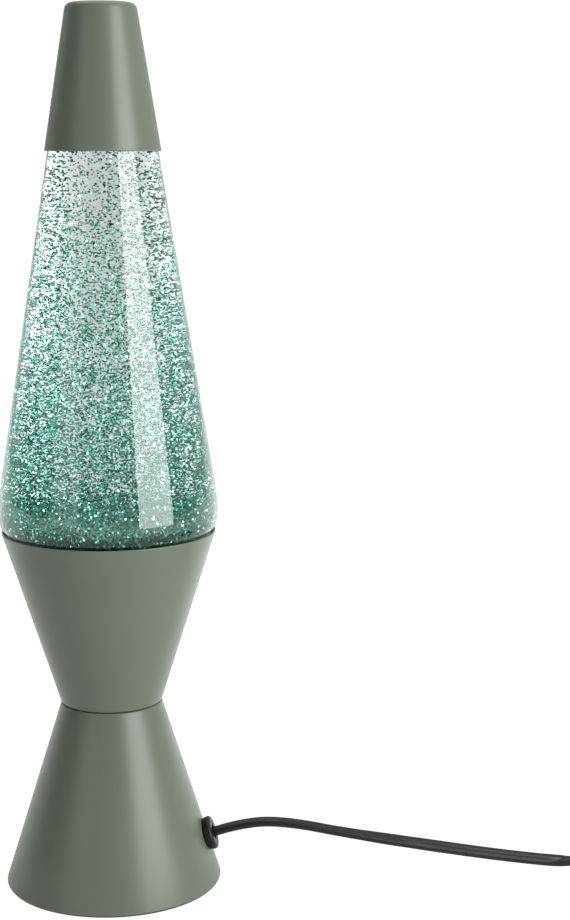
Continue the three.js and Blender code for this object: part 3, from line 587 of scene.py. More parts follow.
def make_world():
    """White to the camera, and to every other ray a room with a flag on its left."""
    world = bpy.data.worlds.new("studio")
    bpy.context.scene.world = world
    world.use_nodes = True
    nodes, links = world.node_tree.nodes, world.node_tree.links
    nodes.clear()
    seen = add_node(nodes, "Background")
    set_inputs(seen, Color=(1, 1, 1, 1), Strength=SEEN_WHITE)
    room = add_node(nodes, "Background")
    direction = add_node(nodes, "TexCoord").outputs["Generated"]
    split = add_node(nodes, "SeparateXYZ")
    links.new(direction, split.inputs[0])
    light = add_change(nodes, links, split.outputs["Y"], FRONT_TO_BACK, ROOM_LIGHT)
    flag = add_node(nodes, "VectorMath", operation="DOT_PRODUCT")
    flag.inputs[1].default_value = FLAG_SIDE
    links.new(direction, flag.inputs[0])
    flagged = add_change(nodes, links, flag.outputs["Value"], FLAG_EDGE, (1, FLAG_DARKNESS))
    both = add_node(nodes, "Math", operation="MULTIPLY")
    links.new(light.outputs["Result"], both.inputs[0])
    links.new(flagged.outputs["Result"], both.inputs[1])
    links.new(both.outputs[0], room.inputs["Strength"])
    mix_for_ray(nodes, links, "Is Camera Ray", room, seen, add_node(nodes, "OutputWorld"))


make_world()
bpy.context.scene.view_settings.view_transform = "Standard"


# %% Softboxes and spot
SOFTBOX_HEIGHT = 0.5


def add_light(name, kind, place, aim, power):
    light = bpy.data.objects.new(name, bpy.data.lights.new(name, kind))
    light.data.energy = power
    bpy.context.scene.collection.objects.link(light)
    light.location = place
    light.rotation_euler = (Vector(aim) - Vector(place)).to_track_quat("-Z", "Y").to_euler()
    return light


def add_softbox(name, place, aim, size, power):
    softbox = add_light(name, "AREA", place, aim, power)
    softbox.data.shape = "RECTANGLE"
    softbox.data.size, softbox.data.size_y = size
    softbox.visible_camera = False


def add_standing_softbox(name, degrees, distance, size, power):
    """A softbox that faces the lamp, turned round it from straight in front to the right."""
    angle = math.radians(degrees)
    place = (distance * math.sin(angle), -distance * math.cos(angle), SOFTBOX_HEIGHT)
    add_softbox(name, place, (0, 0, SOFTBOX_HEIGHT), size, power)


def add_globe_spot(place, aim, spread, power):
    """A narrow spot that falls only on the globe. With no size, the glass doesn't mirror it."""
    spot = add_light("globe_spot", "SPOT", place, aim, power)
    spot.data.spot_size = math.radians(spread)
    spot.data.spot_blend = 1.0
    spot.data.shadow_soft_size = 0.0


add_standing_softbox("key_softbox", 49.5, 1.1, (0.76, 1.1), 20)
add_standing_softbox("fill_softbox", -46, 1.4, (0.7, 1.4), 3)
add_softbox("top_softbox", (0.1, 0.3, 1.9), (0, 0.1, 0), (2.4, 2.0), 24)
add_globe_spot((-0.9, -0.25, 0.4), (-0.02, 0, 0.212), 9, 110)
print("studio: sweep, world, 3 softboxes and a spot")

# %% [markdown]
# ## Finishes
# Effects that several materials share are node groups. `fine_grain` gives a small bumpy height
# and a mask of slow drift. Paint, plastic, rubber and metal all use it, each with its own scale
# and depth, so that none of them is flawless. The shaders themselves stay in each material.


# %% Shared grain
def make_grain_group():
    group = bpy.data.node_groups.new("fine_grain", "ShaderNodeTree")
    sockets = {"INPUT": ("Grain Scale", "Drift Scale"), "OUTPUT": ("Height", "Drift")}
    for side, names in sockets.items():
        for name in names:
            group.interface.new_socket(name, in_out=side, socket_type="NodeSocketFloat")
    nodes, links = group.nodes, group.links
    start = nodes.new("NodeGroupInput")
    end = nodes.new("NodeGroupOutput")
    place = add_node(nodes, "TexCoord")
    for layer, detail in (("Grain", 3.0), ("Drift", 4.0)):
        noise = add_node(nodes, "TexNoise")
        set_inputs(noise, Detail=detail, Roughness=0.55)
        links.new(place.outputs["Object"], noise.inputs["Vector"])
        links.new(start.outputs[layer + " Scale"], noise.inputs["Scale"])
        links.new(noise.outputs["Fac"], end.inputs["Height" if layer == "Grain" else "Drift"])
    return group


grain_group = make_grain_group()
DRIFT_SCALE = 25.0
ROUGHNESS_DRIFT = 0.12
MIX_FIRST, MIX_SECOND, MIX_RESULT = 6, 7, 2


def grained(name, colour, roughness, grain_scale, grain_height, drift=0.12, **plain):
    """A finish with a fine grain, whose colour and roughness drift a little over the piece.
    The grain's scale is in lumps per metre and its height in millimetres."""
    material, nodes, links, surface = new_material(name)
    grain = add_node(nodes, "Group", node_tree=grain_group)
    set_inputs(grain, Grain_Scale=grain_scale, Drift_Scale=DRIFT_SCALE)
    shade = add_node(nodes, "Mix", data_type="RGBA")
    shade.inputs[MIX_FIRST].default_value = (*(c * (1 - drift) for c in colour), 1)
    shade.inputs[MIX_SECOND].default_value = (*(min(c * (1 + drift), 1) for c in colour), 1)
    ends = (roughness * (1 - ROUGHNESS_DRIFT), roughness * (1 + ROUGHNESS_DRIFT))
    spread = add_change(nodes, links, grain.outputs["Drift"], (0.3, 0.7), ends, "LINEAR")
    bump = add_node(nodes, "Bump")
    set_inputs(bump, Strength=1.0, Distance=grain_height * MM)
    links.new(grain.outputs["Drift"], shade.inputs[0])
    links.new(shade.outputs[MIX_RESULT], surface.inputs["Base Color"])
    links.new(spread.outputs["Result"], surface.inputs["Roughness"])
    links.new(grain.outputs["Height"], bump.inputs["Height"])
    links.new(bump.outputs["Normal"], surface.inputs["Normal"])
    set_inputs(surface, **plain)
    return material


# %% Plain finishes
sage_paint = grained("sage_paint", (0.092, 0.110, 0.082), 0.34, 2600, 0.012, drift=0.03,
                     Specular_IOR_Level=0.4)
black_rubber = grained("black_rubber", (0.005, 0.005, 0.005), 0.4, 1500, 0.02,
                       Specular_IOR_Level=0.25)
black_plastic = grained("black_plastic", (0.016, 0.016, 0.017), 0.42, 3000, 0.02)
white_plastic = grained("white_plastic", (0.74, 0.71, 0.64), 0.45, 2200, 0.02, drift=0.04)
sheath = grained("cord_sheath", (0.008, 0.008, 0.0095), 0.34, 900, 0.01, Specular_IOR_Level=0.24)
brown_sheath = grained("brown_insulation", (0.12, 0.05, 0.02), 0.4, 1200, 0.01)
blue_sheath = grained("blue_insulation", (0.03, 0.1, 0.35), 0.4, 1200, 0.01)
brass = grained("brass", (0.62, 0.42, 0.16), 0.3, 1500, 0.004, Metallic=1.0)
plated_steel = grained("tinned_steel", (0.62, 0.62, 0.6), 0.27, 1500, 0.004, Metallic=1.0)
filament_wire = grained("filament_wire", (0.12, 0.12, 0.125), 0.4, 4000, 0.004, Metallic=1.0)
black_glass = grained("black_glass", (0.01, 0.01, 0.012), 0.12, 600, 0.004)
give(mains_cord, sheath)
print("plain finishes:", len(bpy.data.materials))

# %% [markdown]
# ## Spun metal shells
# The foot, the cup and the cap are spun from thin sheet. A spun edge is never a knife edge, so
# each free rim ends in a small round, and every corner is rounded. The foot and the cup meet at
# the waist in a fine groove, because both corners there are round. The sheet leans, so a ring's
# inner radius is smaller than its outer one by a little more than the sheet's thickness.

# %% The cones
SHEET = 0.9
WAIST_ROUND = 0.8
INNER_ROUND = 1.1
BASE_LEAN = 17
BASE_WALL = SHEET * 1.05
foot_bottom, foot_top = low("foot_shell"), high("foot_shell")
cup_bottom, cup_top = low("cup_shell"), high("cup_shell")
cap_bottom, cap_top = low("cap_shell"), high("cap_shell")


def cone_between(low_radius, low_height, high_radius, high_height):
    """A straight cone, as a function from height to radius."""
    slope = (high_radius - low_radius) / (high_height - low_height)
    return lambda height: low_radius + slope * (height - low_height)


foot_cone = cone_between(
    radius_at("foot_shell", foot_bottom + 0.5), foot_bottom + 0.5,
    radius_at("foot_shell", foot_top - WAIST_ROUND), foot_top - WAIST_ROUND)
cup_cone = cone_between(
    radius_at("cup_shell", cup_bottom + WAIST_ROUND), cup_bottom + WAIST_ROUND,
    radius_at("cup_shell", cup_top - 0.3), cup_top - 0.3)
holder_hole = radius_at("foot_shell", foot_top, min)
print("foot", round(foot_cone(foot_bottom), 2), "waist", round(foot_cone(foot_top), 2))


def steps_between(start, end, count):
    return [start + (end - start) * i / count for i in range(1, count)]


# %% Foot
def make_foot():
    rim = SHEET / 2
    waist = foot_top - WAIST_ROUND
    corner = foot_top - 2
    return turn("spun_foot", [
        *corner_arc(foot_cone(foot_bottom + rim) - rim, foot_bottom + rim, rim, -180, BASE_LEAN, 8),
        *[(foot_cone(z), z) for z in steps_between(foot_bottom + 1, waist, 4)],
        *corner_arc(foot_cone(waist) - WAIST_ROUND, waist, WAIST_ROUND, BASE_LEAN, 90, 6),
        (holder_hole, foot_top),
        (holder_hole, foot_top - SHEET),
        *corner_arc(foot_cone(corner) - BASE_WALL - INNER_ROUND, corner, INNER_ROUND,
                    90, BASE_LEAN, 4),
        (foot_cone(foot_bottom + 1) - BASE_WALL, foot_bottom + 1),
    ], sides=160)


spun_foot = make_foot()


# %% [markdown]
# Three tabs inside the foot take the base plate's screws. Each is a block with soft edges and a
# way for its screw, turned to its place. The grommet's hole is cut square to the cone's slope.

# %% Grommet's place, rods and blocks
GROMMET_HEIGHT = 19.5
GROMMET_TURN = math.radians(-8)
foot_lean = math.atan(foot_cone(0) - foot_cone(1))
grommet_out = Vector((math.cos(foot_lean) * math.cos(GROMMET_TURN),
                      math.cos(foot_lean) * math.sin(GROMMET_TURN), math.sin(foot_lean)))
grommet_place = Vector((foot_cone(GROMMET_HEIGHT) * math.cos(GROMMET_TURN),
                        foot_cone(GROMMET_HEIGHT) * math.sin(GROMMET_TURN), GROMMET_HEIGHT))


def set_on_foot(piece):
    """Stands a piece drawn about Z, with the metal's surface at z = 0, on the foot's slope."""
    piece.rotation_mode = "QUATERNION"
    piece.rotation_quaternion = grommet_out.to_track_quat("Z", "Y")
    piece.location = grommet_place * MM
    put_place_in_mesh(piece)
    return piece


def add_rod(name, radius, bottom, top, sides=48, place=(0, 0)):
    clear_selection()
    bpy.ops.mesh.primitive_cylinder_add(
        vertices=sides, radius=radius * MM, depth=(top - bottom) * MM,
        location=(place[0] * MM, place[1] * MM, (top + bottom) / 2 * MM))
    rod = named(name)
    put_place_in_mesh(rod)
    return rod


def add_block(name, lows, highs):
    clear_selection()
    middle = [(a + b) / 2 * MM for a, b in zip(lows, highs, strict=True)]
    size = [(b - a) * MM for a, b in zip(lows, highs, strict=True)]
    bpy.ops.mesh.primitive_cube_add(size=1, location=middle, scale=size)
    block = named(name)
    put_place_in_mesh(block)
    return block


# %% Foot tabs and cord hole
TAB_CIRCLE = 38.5
TAB_HALF, TAB_THICKNESS = 4, 1.4
TAB_TURNS = (60, 180, 300)


def make_tabs():
    tab_bottom = high("base_plate") + 0.3
    tabs = []
    for degrees in TAB_TURNS:
        tab = add_block("foot_tab", (TAB_CIRCLE - TAB_HALF, -TAB_HALF, tab_bottom),
                        (foot_cone(tab_bottom) - 0.6, TAB_HALF, tab_bottom + TAB_THICKNESS))
        bevel(tab, 0.3, 2)
        cut(tab, add_rod("screw_way", 1.45, tab_bottom - 1, tab_bottom + 3, 24, (TAB_CIRCLE, 0)))
        tab.rotation_euler.z = math.radians(degrees)
        put_place_in_mesh(tab)
        smooth(tab)
        tabs.append(tab)
    return tabs


cut(spun_foot, set_on_foot(add_rod("cord_way", 4.9, -8, 8)))
spun_foot = join("spun_foot", [spun_foot, *make_tabs()])
smooth(spun_foot, 30)
give(spun_foot, sage_paint)
hand_in(spun_foot, "base", "sage_paint", "foot_shell")

# %% [markdown]
# The cup is the same kind of cone the other way up. Its rim is rolled, and the globe stands in it
# just inside the rim, so only a thin dark line shows between metal and glass.


# %% Cup
def make_cup():
    rim = SHEET / 2
    waist = cup_bottom + WAIST_ROUND
    corner = cup_bottom + 2
    top = cup_top - rim
    cup = turn("spun_cup", [
        (holder_hole, cup_bottom),
        *corner_arc(cup_cone(waist) - WAIST_ROUND, waist, WAIST_ROUND, -90, -BASE_LEAN, 6),
        *[(cup_cone(z), z) for z in steps_between(waist, top, 4)],
        *corner_arc(cup_cone(top) - rim, top, rim, -BASE_LEAN, 180, 9),
        *[(cup_cone(z) - BASE_WALL, z) for z in steps_between(top, corner, 4)],
        *corner_arc(cup_cone(corner) - BASE_WALL - INNER_ROUND, corner, INNER_ROUND,
                    -BASE_LEAN, -90, 4),
        (holder_hole, cup_bottom + SHEET),
    ], sides=160)
    give(cup, sage_paint)
    return cup


spun_cup = make_cup()
hand_in(spun_cup, "base", "sage_paint", "cup_shell")

# %% [markdown]
# The cap is a taller cone with a soft shoulder round its flat top. Its lower rim hangs free in
# front of the glass, where it reads as one fine line, so its edge is rolled like the others.

# %% Cap
CAP_EDGE = 3.0
CAP_TAPER = 9.5
CAP_WALL = SHEET * 1.01
cap_cone = cone_between(
    radius_at("cap_shell", cap_bottom + 0.5), cap_bottom + 0.5,
    high("cap_shell", 0) - CAP_TAPER, cap_top)


def make_cap():
    rim = SHEET / 2
    lean = math.degrees(math.atan(cap_cone(0) - cap_cone(1)))
    corner = cap_top - CAP_EDGE
    centre = cap_cone(corner) - CAP_EDGE * 1.01
    cap = turn("spun_cap", [
        (0, cap_top - SHEET),
        (centre * 0.7, cap_top - SHEET),
        *corner_arc(centre, corner, CAP_EDGE - SHEET, 90, lean, 6),
        *[(cap_cone(z) - CAP_WALL, z) for z in steps_between(corner, cap_bottom + rim, 3)],
        *corner_arc(cap_cone(cap_bottom + rim) - rim, cap_bottom + rim, rim, -180, lean, 9),
        *[(cap_cone(z), z) for z in steps_between(cap_bottom + rim, corner, 3)],
        *corner_arc(centre, corner, CAP_EDGE, lean, 90, 10),
        (centre * 0.7, cap_top),
        (0, cap_top),
    ], sides=128)
    give(cap, sage_paint)
    return cap


spun_cap = make_cap()
hand_in(spun_cap, "cap", "sage_paint", "cap_shell")

# %% [markdown]
# ## Glass globe
# A blown bottle, stood on its wide end: a ring to stand on with a shallow push-up inside it, a
# soft shoulder at the widest place, a long straight taper and a narrow neck with a lip. Its wall
# is a solid of glass, so that light bends both at its outside and at the liquid inside.

# %% Globe section
WALL = 2.5
FLOOR = 5.0
SHOULDER, SHOULDER_UP = 11.0, 23.9
BLEND = 10.5
PUSH_UP = 2.6
NECK_LENGTH = 18.6
NECK, MOUTH, BORE = 12.6, 13.2, 8.6
UNDER_CAP = 1.2
globe_bottom, globe_mouth = low("globe_glass"), high("globe_glass")
globe_floor = globe_bottom + FLOOR
shoulder_height = globe_bottom + SHOULDER_UP
shoulder_middle = globe_widest - SHOULDER
taper_start = shoulder_height + BLEND
neck_start = globe_mouth - NECK_LENGTH
radius_under_cap = cap_cone(cap_bottom) - UNDER_CAP
taper = (globe_widest - radius_under_cap) / (cap_bottom - taper_start + BLEND / 2)
taper_degrees = math.degrees(math.atan(taper))


def globe_cone(height):
    return radius_under_cap + taper * (cap_bottom - height)


def ease_rings(start, end, count=8):
    """Rings that swing smoothly from one radius to another, upright at both ends."""
    rings = []
    for i in range(count + 1):
        t = i / count
        rings.append((start[0] + (end[0] - start[0]) * ramp(t, 0, 1),
                      start[1] + (end[1] - start[1]) * t))
    return rings


def globe_outside():
    bend = BLEND / math.sin(math.radians(taper_degrees))
    return [
        (0, globe_bottom + PUSH_UP),
        (20.0, globe_bottom + PUSH_UP),
        *ease_rings((22.5, globe_bottom + PUSH_UP - 0.05), (28.0, globe_bottom + 0.35), 5),
        (29.6, globe_bottom),
        (31.5, globe_bottom),
        (33.4, globe_bottom + 0.35),
        (34.5, globe_bottom + 1.1),
        *corner_arc(shoulder_middle, shoulder_height, SHOULDER, -42, 0, 14),
        *corner_arc(globe_widest - bend, shoulder_height, bend, 0, taper_degrees, 6)[1:],
        *[(globe_cone(z), z) for z in steps_between(taper_start, neck_start, 8)],
        *ease_rings((globe_cone(neck_start), neck_start), (NECK, neck_start + 5)),
        (NECK, globe_mouth - 6.6),
        (MOUTH - 0.3, globe_mouth - 6.2),
        (MOUTH, globe_mouth - 5.6),
        (MOUTH, globe_mouth - 1.0),
        (MOUTH - 0.3, globe_mouth - 0.3),
        (MOUTH - 1.0, globe_mouth),
    ]


def globe_inside(inset=0.0):
    """The inside of the glass, or a line set in from it, from the floor up to the neck."""
    heel = SHOULDER - WALL - inset
    side = (WALL + inset) * math.hypot(1, taper)
    return [
        (0, globe_floor + inset),
        (26.0, globe_floor + inset),
        *ease_rings((30.0, globe_floor + inset + 0.02), (34.6, globe_floor + inset + 0.75), 3),
        *corner_arc(shoulder_middle, shoulder_height + 1, heel, -62, 0, 12),
        (globe_widest - WALL - inset - 0.02, shoulder_height + 2.4),
        (globe_widest - WALL - inset - 0.3, taper_start - 4),
        *[(globe_cone(z) - side, z) for z in steps_between(taper_start - 8, neck_start - 3, 9)],
        *ease_rings((globe_cone(neck_start - 3) - side, neck_start - 3),
                    (BORE - inset, neck_start + 4)),
    ]


print("globe tapers", round(taper_degrees, 2), "degrees; neck from", round(neck_start, 1))

# %% [markdown]
# Glass bends light by the ratio of what is on its two sides. Outside that is glass to air, about
# 1.5. Where liquid touches the inside it is only glass to liquid, about 1.1, so the wetted faces
# get a slot of their own. Shadow rays pass straight through, or the flakes would be black.

# %% Glass finish
GLASS_TINT = (0.965, 0.985, 0.985, 1)
GLASS_TO_AIR, GLASS_TO_LIQUID, LIQUID_TO_AIR = 1.5, 1.103, 1.36
LIQUID_TINT = (0.988, 0.997, 0.996, 1)
UNTINTED = (1, 1, 1, 1)
liquid_top = high("liquid")


def make_glass(name, ior, tint):
    material, nodes, links, surface = new_material(name)
    set_inputs(surface, Base_Color=tint, Roughness=0.0, IOR=ior, Transmission_Weight=1.0)
    clear = add_node(nodes, "BsdfTransparent")
    clear.inputs[0].default_value = tint
    mix_for_ray(nodes, links, "Is Shadow Ray", surface, clear, nodes["Material Output"])
    return material


dry_glass = make_glass("clear_glass", GLASS_TO_AIR, GLASS_TINT)
set_inputs(dry_glass.node_tree.nodes["Principled BSDF"], Sheen_Weight=0.6, Sheen_Roughness=0.25)
wet_glass = make_glass("wetted_glass", GLASS_TO_LIQUID, UNTINTED)


# %% Globe
def wetted(place):
    """Whether a place on the globe's surface is on its inside, below the liquid's top."""
    radius, height = place.xy.length, place.z
    if height > liquid_top:
        return False
    if height < shoulder_height + 1:
        beside = math.hypot(radius - shoulder_middle, height - shoulder_height - 0.5)
        return (radius < shoulder_middle and height > globe_bottom + (PUSH_UP + FLOOR) / 2) or (
            radius > shoulder_middle and beside < SHOULDER - WALL / 2)
    return radius < min(globe_cone(height), globe_widest) - WALL * 0.6


def make_globe():
    inside = [*globe_inside()[1:], (BORE, globe_mouth)]
    globe = turn("glass_globe", [*globe_outside(), *reversed(inside), (0, globe_floor)], sides=192)
    give(globe, dry_glass, wet_glass)
    wet_faces = 0
    for face in globe.data.polygons:
        if wetted(face.center / MM):
            face.material_index = 1
            wet_faces += 1
    print("wetted faces:", wet_faces, "of", len(globe.data.polygons))
    return globe


glass_globe = make_globe()
hand_in(glass_globe, "globe", "clear_glass", "globe_glass")

# %% [markdown]
# ## Liquid
# The wetted glass already bends the light as it enters the liquid, so the liquid's own side must
# not bend it again: it is only a faint tint. Its level top, in the neck, is a real surface.


# %% Liquid finish and body
def make_liquid_tint():
    material, nodes, links, surface = new_material("liquid_tint")
    clear = add_node(nodes, "BsdfTransparent")
    clear.inputs[0].default_value = LIQUID_TINT
    links.new(clear.outputs[0], nodes["Material Output"].inputs["Surface"])
    nodes.remove(surface)
    return material


liquid_tint = make_liquid_tint()
liquid_face = make_glass("liquid_surface", LIQUID_TO_AIR, UNTINTED)
LIQUID_GAP = 0.12


def make_liquid():
    below = [ring for ring in globe_inside(LIQUID_GAP) if ring[1] < liquid_top - 0.5]
    rim = min(below[-1][0], BORE)
    liquid = turn("lamp_liquid", [*below, (rim, liquid_top), (0, liquid_top)], sides=96)
    give(liquid, liquid_tint, liquid_face)
    for face in liquid.data.polygons:
        face.material_index = int(face.normal.z > 0.9)
    return liquid


lamp_liquid = make_liquid()
hand_in(lamp_liquid, "globe", "lamp_liquid", "liquid")

# %% [markdown]
# ## Flakes
# The glitter is punched from green metallised film: flat hexagons nearly a millimetre across. They
# tumble in the liquid, thinly near the top and thickly low down and near the glass, and a bed of
# them has settled on the floor. One flake is modelled, and its copies are gathered in a few
# meshes. Each copy keeps a random tone, which the material reads.

# %% One flake
FLAKE_RADIUS, FLAKE_THICKNESS = 0.5, 0.05


def make_flake():
    clear_selection()
    bpy.ops.mesh.primitive_circle_add(vertices=6, radius=FLAKE_RADIUS, fill_type="NGON")
    flake = named("one_flake")
    start_editing(flake, "SELECT")
    bpy.ops.mesh.extrude_region_move(TRANSFORM_OT_translate={"value": (0, 0, FLAKE_THICKNESS)})
    bpy.ops.mesh.select_all(action="SELECT")
    bpy.ops.transform.translate(value=(0, 0, -FLAKE_THICKNESS / 2))
    bpy.ops.mesh.normals_make_consistent(inside=False)
    stop_editing()
    corners = np.array([v.co for v in flake.data.vertices])
    faces = [tuple(face.vertices) for face in flake.data.polygons]
    bpy.data.objects.remove(flake)
    return corners, faces


flake_corners, flake_faces = make_flake()
print("flake:", len(flake_corners), "corners,", len(flake_faces), "faces")


# %% Where the flakes float
FLOOR_RINGS = 4
CROWDING_HEIGHTS = [150, 190, 240, 290, 311, 338]
CROWDING = [0.13, 0.112, 0.082, 0.056, 0.046, 0.03]
WALL_CROWDING = 0.2
BED_SINKS = 2.4
rng = np.random.default_rng(46)
bed_top = high("glitter_bed") - BED_SINKS
rising_line = np.array(globe_inside(0.9))[FLOOR_RINGS:]


def inside_radius(height):
    """The radius that the flakes may fill at a height, clear of the glass."""
    return np.interp(height, rising_line[:, 1], rising_line[:, 0])


def flake_crowding(height):
    """How crowded the liquid is at a height, in flakes for each cubic millimetre."""
    return np.interp(height, CROWDING_HEIGHTS, CROWDING)


def scatter_floating():
    """Random places in the liquid, more of them low down and near the glass."""
    heights = np.linspace(bed_top - 4, liquid_top - 1.5, 600)
    slice_counts = flake_crowding(heights) * math.pi * inside_radius(heights) ** 2
    share = np.cumsum(slice_counts)
    count = int(slice_counts.mean() * (heights[-1] - heights[0]))
    z = np.interp(rng.random(count) * share[-1], share, heights)
    radius = inside_radius(z) * rng.random(count) ** WALL_CROWDING
    angle = rng.random(count) * 2 * math.pi
    return np.stack([radius * np.cos(angle), radius * np.sin(angle), z], axis=1)


floating = scatter_floating()
print("floating flakes:", len(floating))


# %% Turning and gathering the flakes
def random_turns(count):
    """Turns with no favoured direction, as rotation matrices."""
    quats = rng.normal(size=(count, 4))
    w, x, y, z = (quats / np.linalg.norm(quats, axis=1)[:, None]).T
    return np.stack([
        1 - 2 * (y * y + z * z), 2 * (x * y - z * w), 2 * (x * z + y * w),
        2 * (x * y + z * w), 1 - 2 * (x * x + z * z), 2 * (y * z - x * w),
        2 * (x * z - y * w), 2 * (y * z + x * w), 1 - 2 * (x * x + y * y),
    ], axis=1).reshape(-1, 3, 3)


def facing_turns(normals, tilt):
    """Turns that lay each flake's flat side along a surface, tipped by a random tilt."""
    normals = normals + rng.normal(size=normals.shape) * tilt
    normals /= np.linalg.norm(normals, axis=1)[:, None]
    sideways = np.cross(normals, rng.normal(size=normals.shape))
    sideways /= np.linalg.norm(sideways, axis=1)[:, None]
    return np.stack([sideways, np.cross(normals, sideways), normals], axis=2)


FLAKES_PER_PIECE = 9800
FLAKE_SIZES = (0.72, 0.98)


def gather_flakes(name, places, turns, deep_tone_and_shade):
    """Copies of the flake at every place, shared out over meshes small enough to keep whole.
    A higher deep_tone_and_shade makes more of them deep green; above 1 this is painted shade."""
    step = len(flake_corners)
    for part, start in enumerate(range(0, len(places), FLAKES_PER_PIECE)):
        span = slice(start, start + FLAKES_PER_PIECE)
        here, turned = places[span], turns[span]
        size = rng.uniform(*FLAKE_SIZES, len(here))[:, None, None]
        corners = np.einsum("nij,kj->nki", turned, flake_corners) * size + here[:, None]
        tones = (rng.random(len(here)) ** deep_tone_and_shade).astype(np.float32)
        faces = [tuple(i + n * step for i in face)
                 for n in range(len(here)) for face in flake_faces]
        mesh = bpy.data.meshes.new(f"{name}_{part + 1}")
        mesh.from_pydata((corners.reshape(-1, 3) * MM).tolist(), [], faces)
        tone = mesh.attributes.new("flake_tone", "FLOAT", "POINT")
        tone.data.foreach_set("value", np.repeat(tones, step))
        piece = bpy.data.objects.new(mesh.name, mesh)
        bpy.context.scene.collection.objects.link(piece)
        give(piece, green_film)
        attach(piece, "globe")
    print(f"{name}: {len(places)} flakes in {part + 1} pieces")


# %% [markdown]
# The film is a mirror behind a green lacquer, so each flake takes its brightness from what it
# faces. The lacquer's depth differs a little from flake to flake, from deep green to mint.


# %% Flake finish
def make_flake_film():
    material, nodes, links, surface = new_material("green_film")
    set_inputs(surface, Metallic=1.0, Roughness=0.22)
    tone = add_node(nodes, "Attribute", attribute_name="flake_tone")
    ramp_node = add_node(nodes, "ValToRGB")
    stops = ramp_node.color_ramp.elements
    stops[0].position, stops[0].color = 0.0, (0.012, 0.14, 0.09, 1)
    stops[1].position, stops[1].color = 1.0, (0.84, 0.97, 0.97, 1)
    for position, colour in ((0.35, (0.045, 0.36, 0.26, 1)), (0.72, (0.25, 0.70, 0.62, 1))):
        stops.new(position).color = colour
    links.new(tone.outputs["Fac"], ramp_node.inputs[0])
    links.new(ramp_node.outputs[0], surface.inputs["Base Color"])
    return material


green_film = make_flake_film()
gather_flakes("drifting_flakes", floating, random_turns(len(floating)), deep_tone_and_shade=1.0)

# %% [markdown]
# The settled bed is a solid heap with flakes all round it, lying roughly along the glass. The
# lowest of the drifting flakes cover its top. Only the outer layer can be seen, so the heap inside
# is plain. The heap and its flakes get darker greens than the drifting flakes, as painted shade.

# %% Settled bed
BED_CORE_INSET = 2.0
BED_CORE_TONE_AND_SHADE = 0.4
BED_CROWDING = 1.6
BED_DEPTHS = (0.35, 2.0)
BED_TILT = 0.8


def make_bed_core():
    line = [ring for ring in globe_inside(BED_CORE_INSET) if ring[1] < bed_top - 2]
    top = [(line[-1][0] - 1, bed_top - 1.2), (0, bed_top - 0.6)]
    core = turn("settled_core", [*line, *top], sides=96)
    give(core, green_film)
    tone = core.data.attributes.new("flake_tone", "FLOAT", "POINT")
    # Painted shade: the heap's random tones are held to the darker greens.
    tones = rng.random(len(core.data.vertices)).astype(np.float32) * BED_CORE_TONE_AND_SHADE
    tone.data.foreach_set("value", tones)
    return core


def scatter_bed():
    """Places and facing directions of the flakes that lie round the settled heap."""
    line = np.array(globe_inside())[1:]
    line = line[line[:, 1] < bed_top + 0.5]
    lengths = distance_along(line)
    area = np.cumsum(np.concatenate([[0], np.diff(lengths) * (line[1:, 0] + line[:-1, 0]) / 2]))
    count = int(area[-1] * 2 * math.pi * BED_CROWDING)
    along = np.interp(rng.random(count) * area[-1], area, lengths)

    def on_line(distance):
        return np.stack([np.interp(distance, lengths, line[:, k]) for k in range(2)], axis=1)

    step = 0.1
    radial, rising = (on_line(along + step) - on_line(along - step)).T
    outward = np.stack([rising, -radial], axis=1)
    outward /= np.linalg.norm(outward, axis=1)[:, None]
    depth = rng.uniform(*BED_DEPTHS, count)
    radius, height = (on_line(along) - outward * depth[:, None]).T
    angle = rng.random(count) * 2 * math.pi
    round_axis = np.stack([np.cos(angle), np.sin(angle)], axis=1)
    places = np.column_stack([round_axis * radius[:, None], height])
    facing = np.column_stack([round_axis * outward[:, :1], outward[:, 1]])
    return places, facing


settled_core = make_bed_core()
hand_in(settled_core, "globe", "green_flakes", "glitter_bed")
bed_places, bed_facing = scatter_bed()
# Painted shade: the settled flakes lean to deep green, darker than the drifting ones.
gather_flakes("settled_flakes", bed_places, facing_turns(bed_facing, BED_TILT), deep_tone_and_shade=3.0)

# %% [markdown]
# ## Grommet
# A black rubber ring, pushed through the foot's side. Its face is a soft round, and the flat cord
# comes out of its middle.


# %% Grommet
def make_grommet():
    flange, thickness, edge = 7.2, 3.6, 1.3
    bore = CORD_WIDTH / 2 + 0.35
    ring = turn("cord_grommet", [
        (bore, -5.2),
        (4.6, -5.2),
        (4.6, 0.1),
        (flange - 0.4, 0.15),
        *corner_arc(flange - edge, thickness - edge, edge, 0, 90, 8),
        *corner_arc(bore + 0.5, thickness - 0.5, 0.5, 90, 180, 4),
    ], sides=64)
    give(ring, black_rubber)
    return set_on_foot(ring)


cord_grommet = make_grommet()
hand_in(cord_grommet, "base", "black_rubber", "grommet")

# %% [markdown]
# ## Crown closure
# The globe is sealed by a pressed crown with 21 flutes round its skirt. It is turned plain, with
# eight corners to a flute, and then its skirt is drawn in between the flutes.

# %% Crown closure
CROWN_FLUTES = 21
FLUTE_DEPTH = 0.85


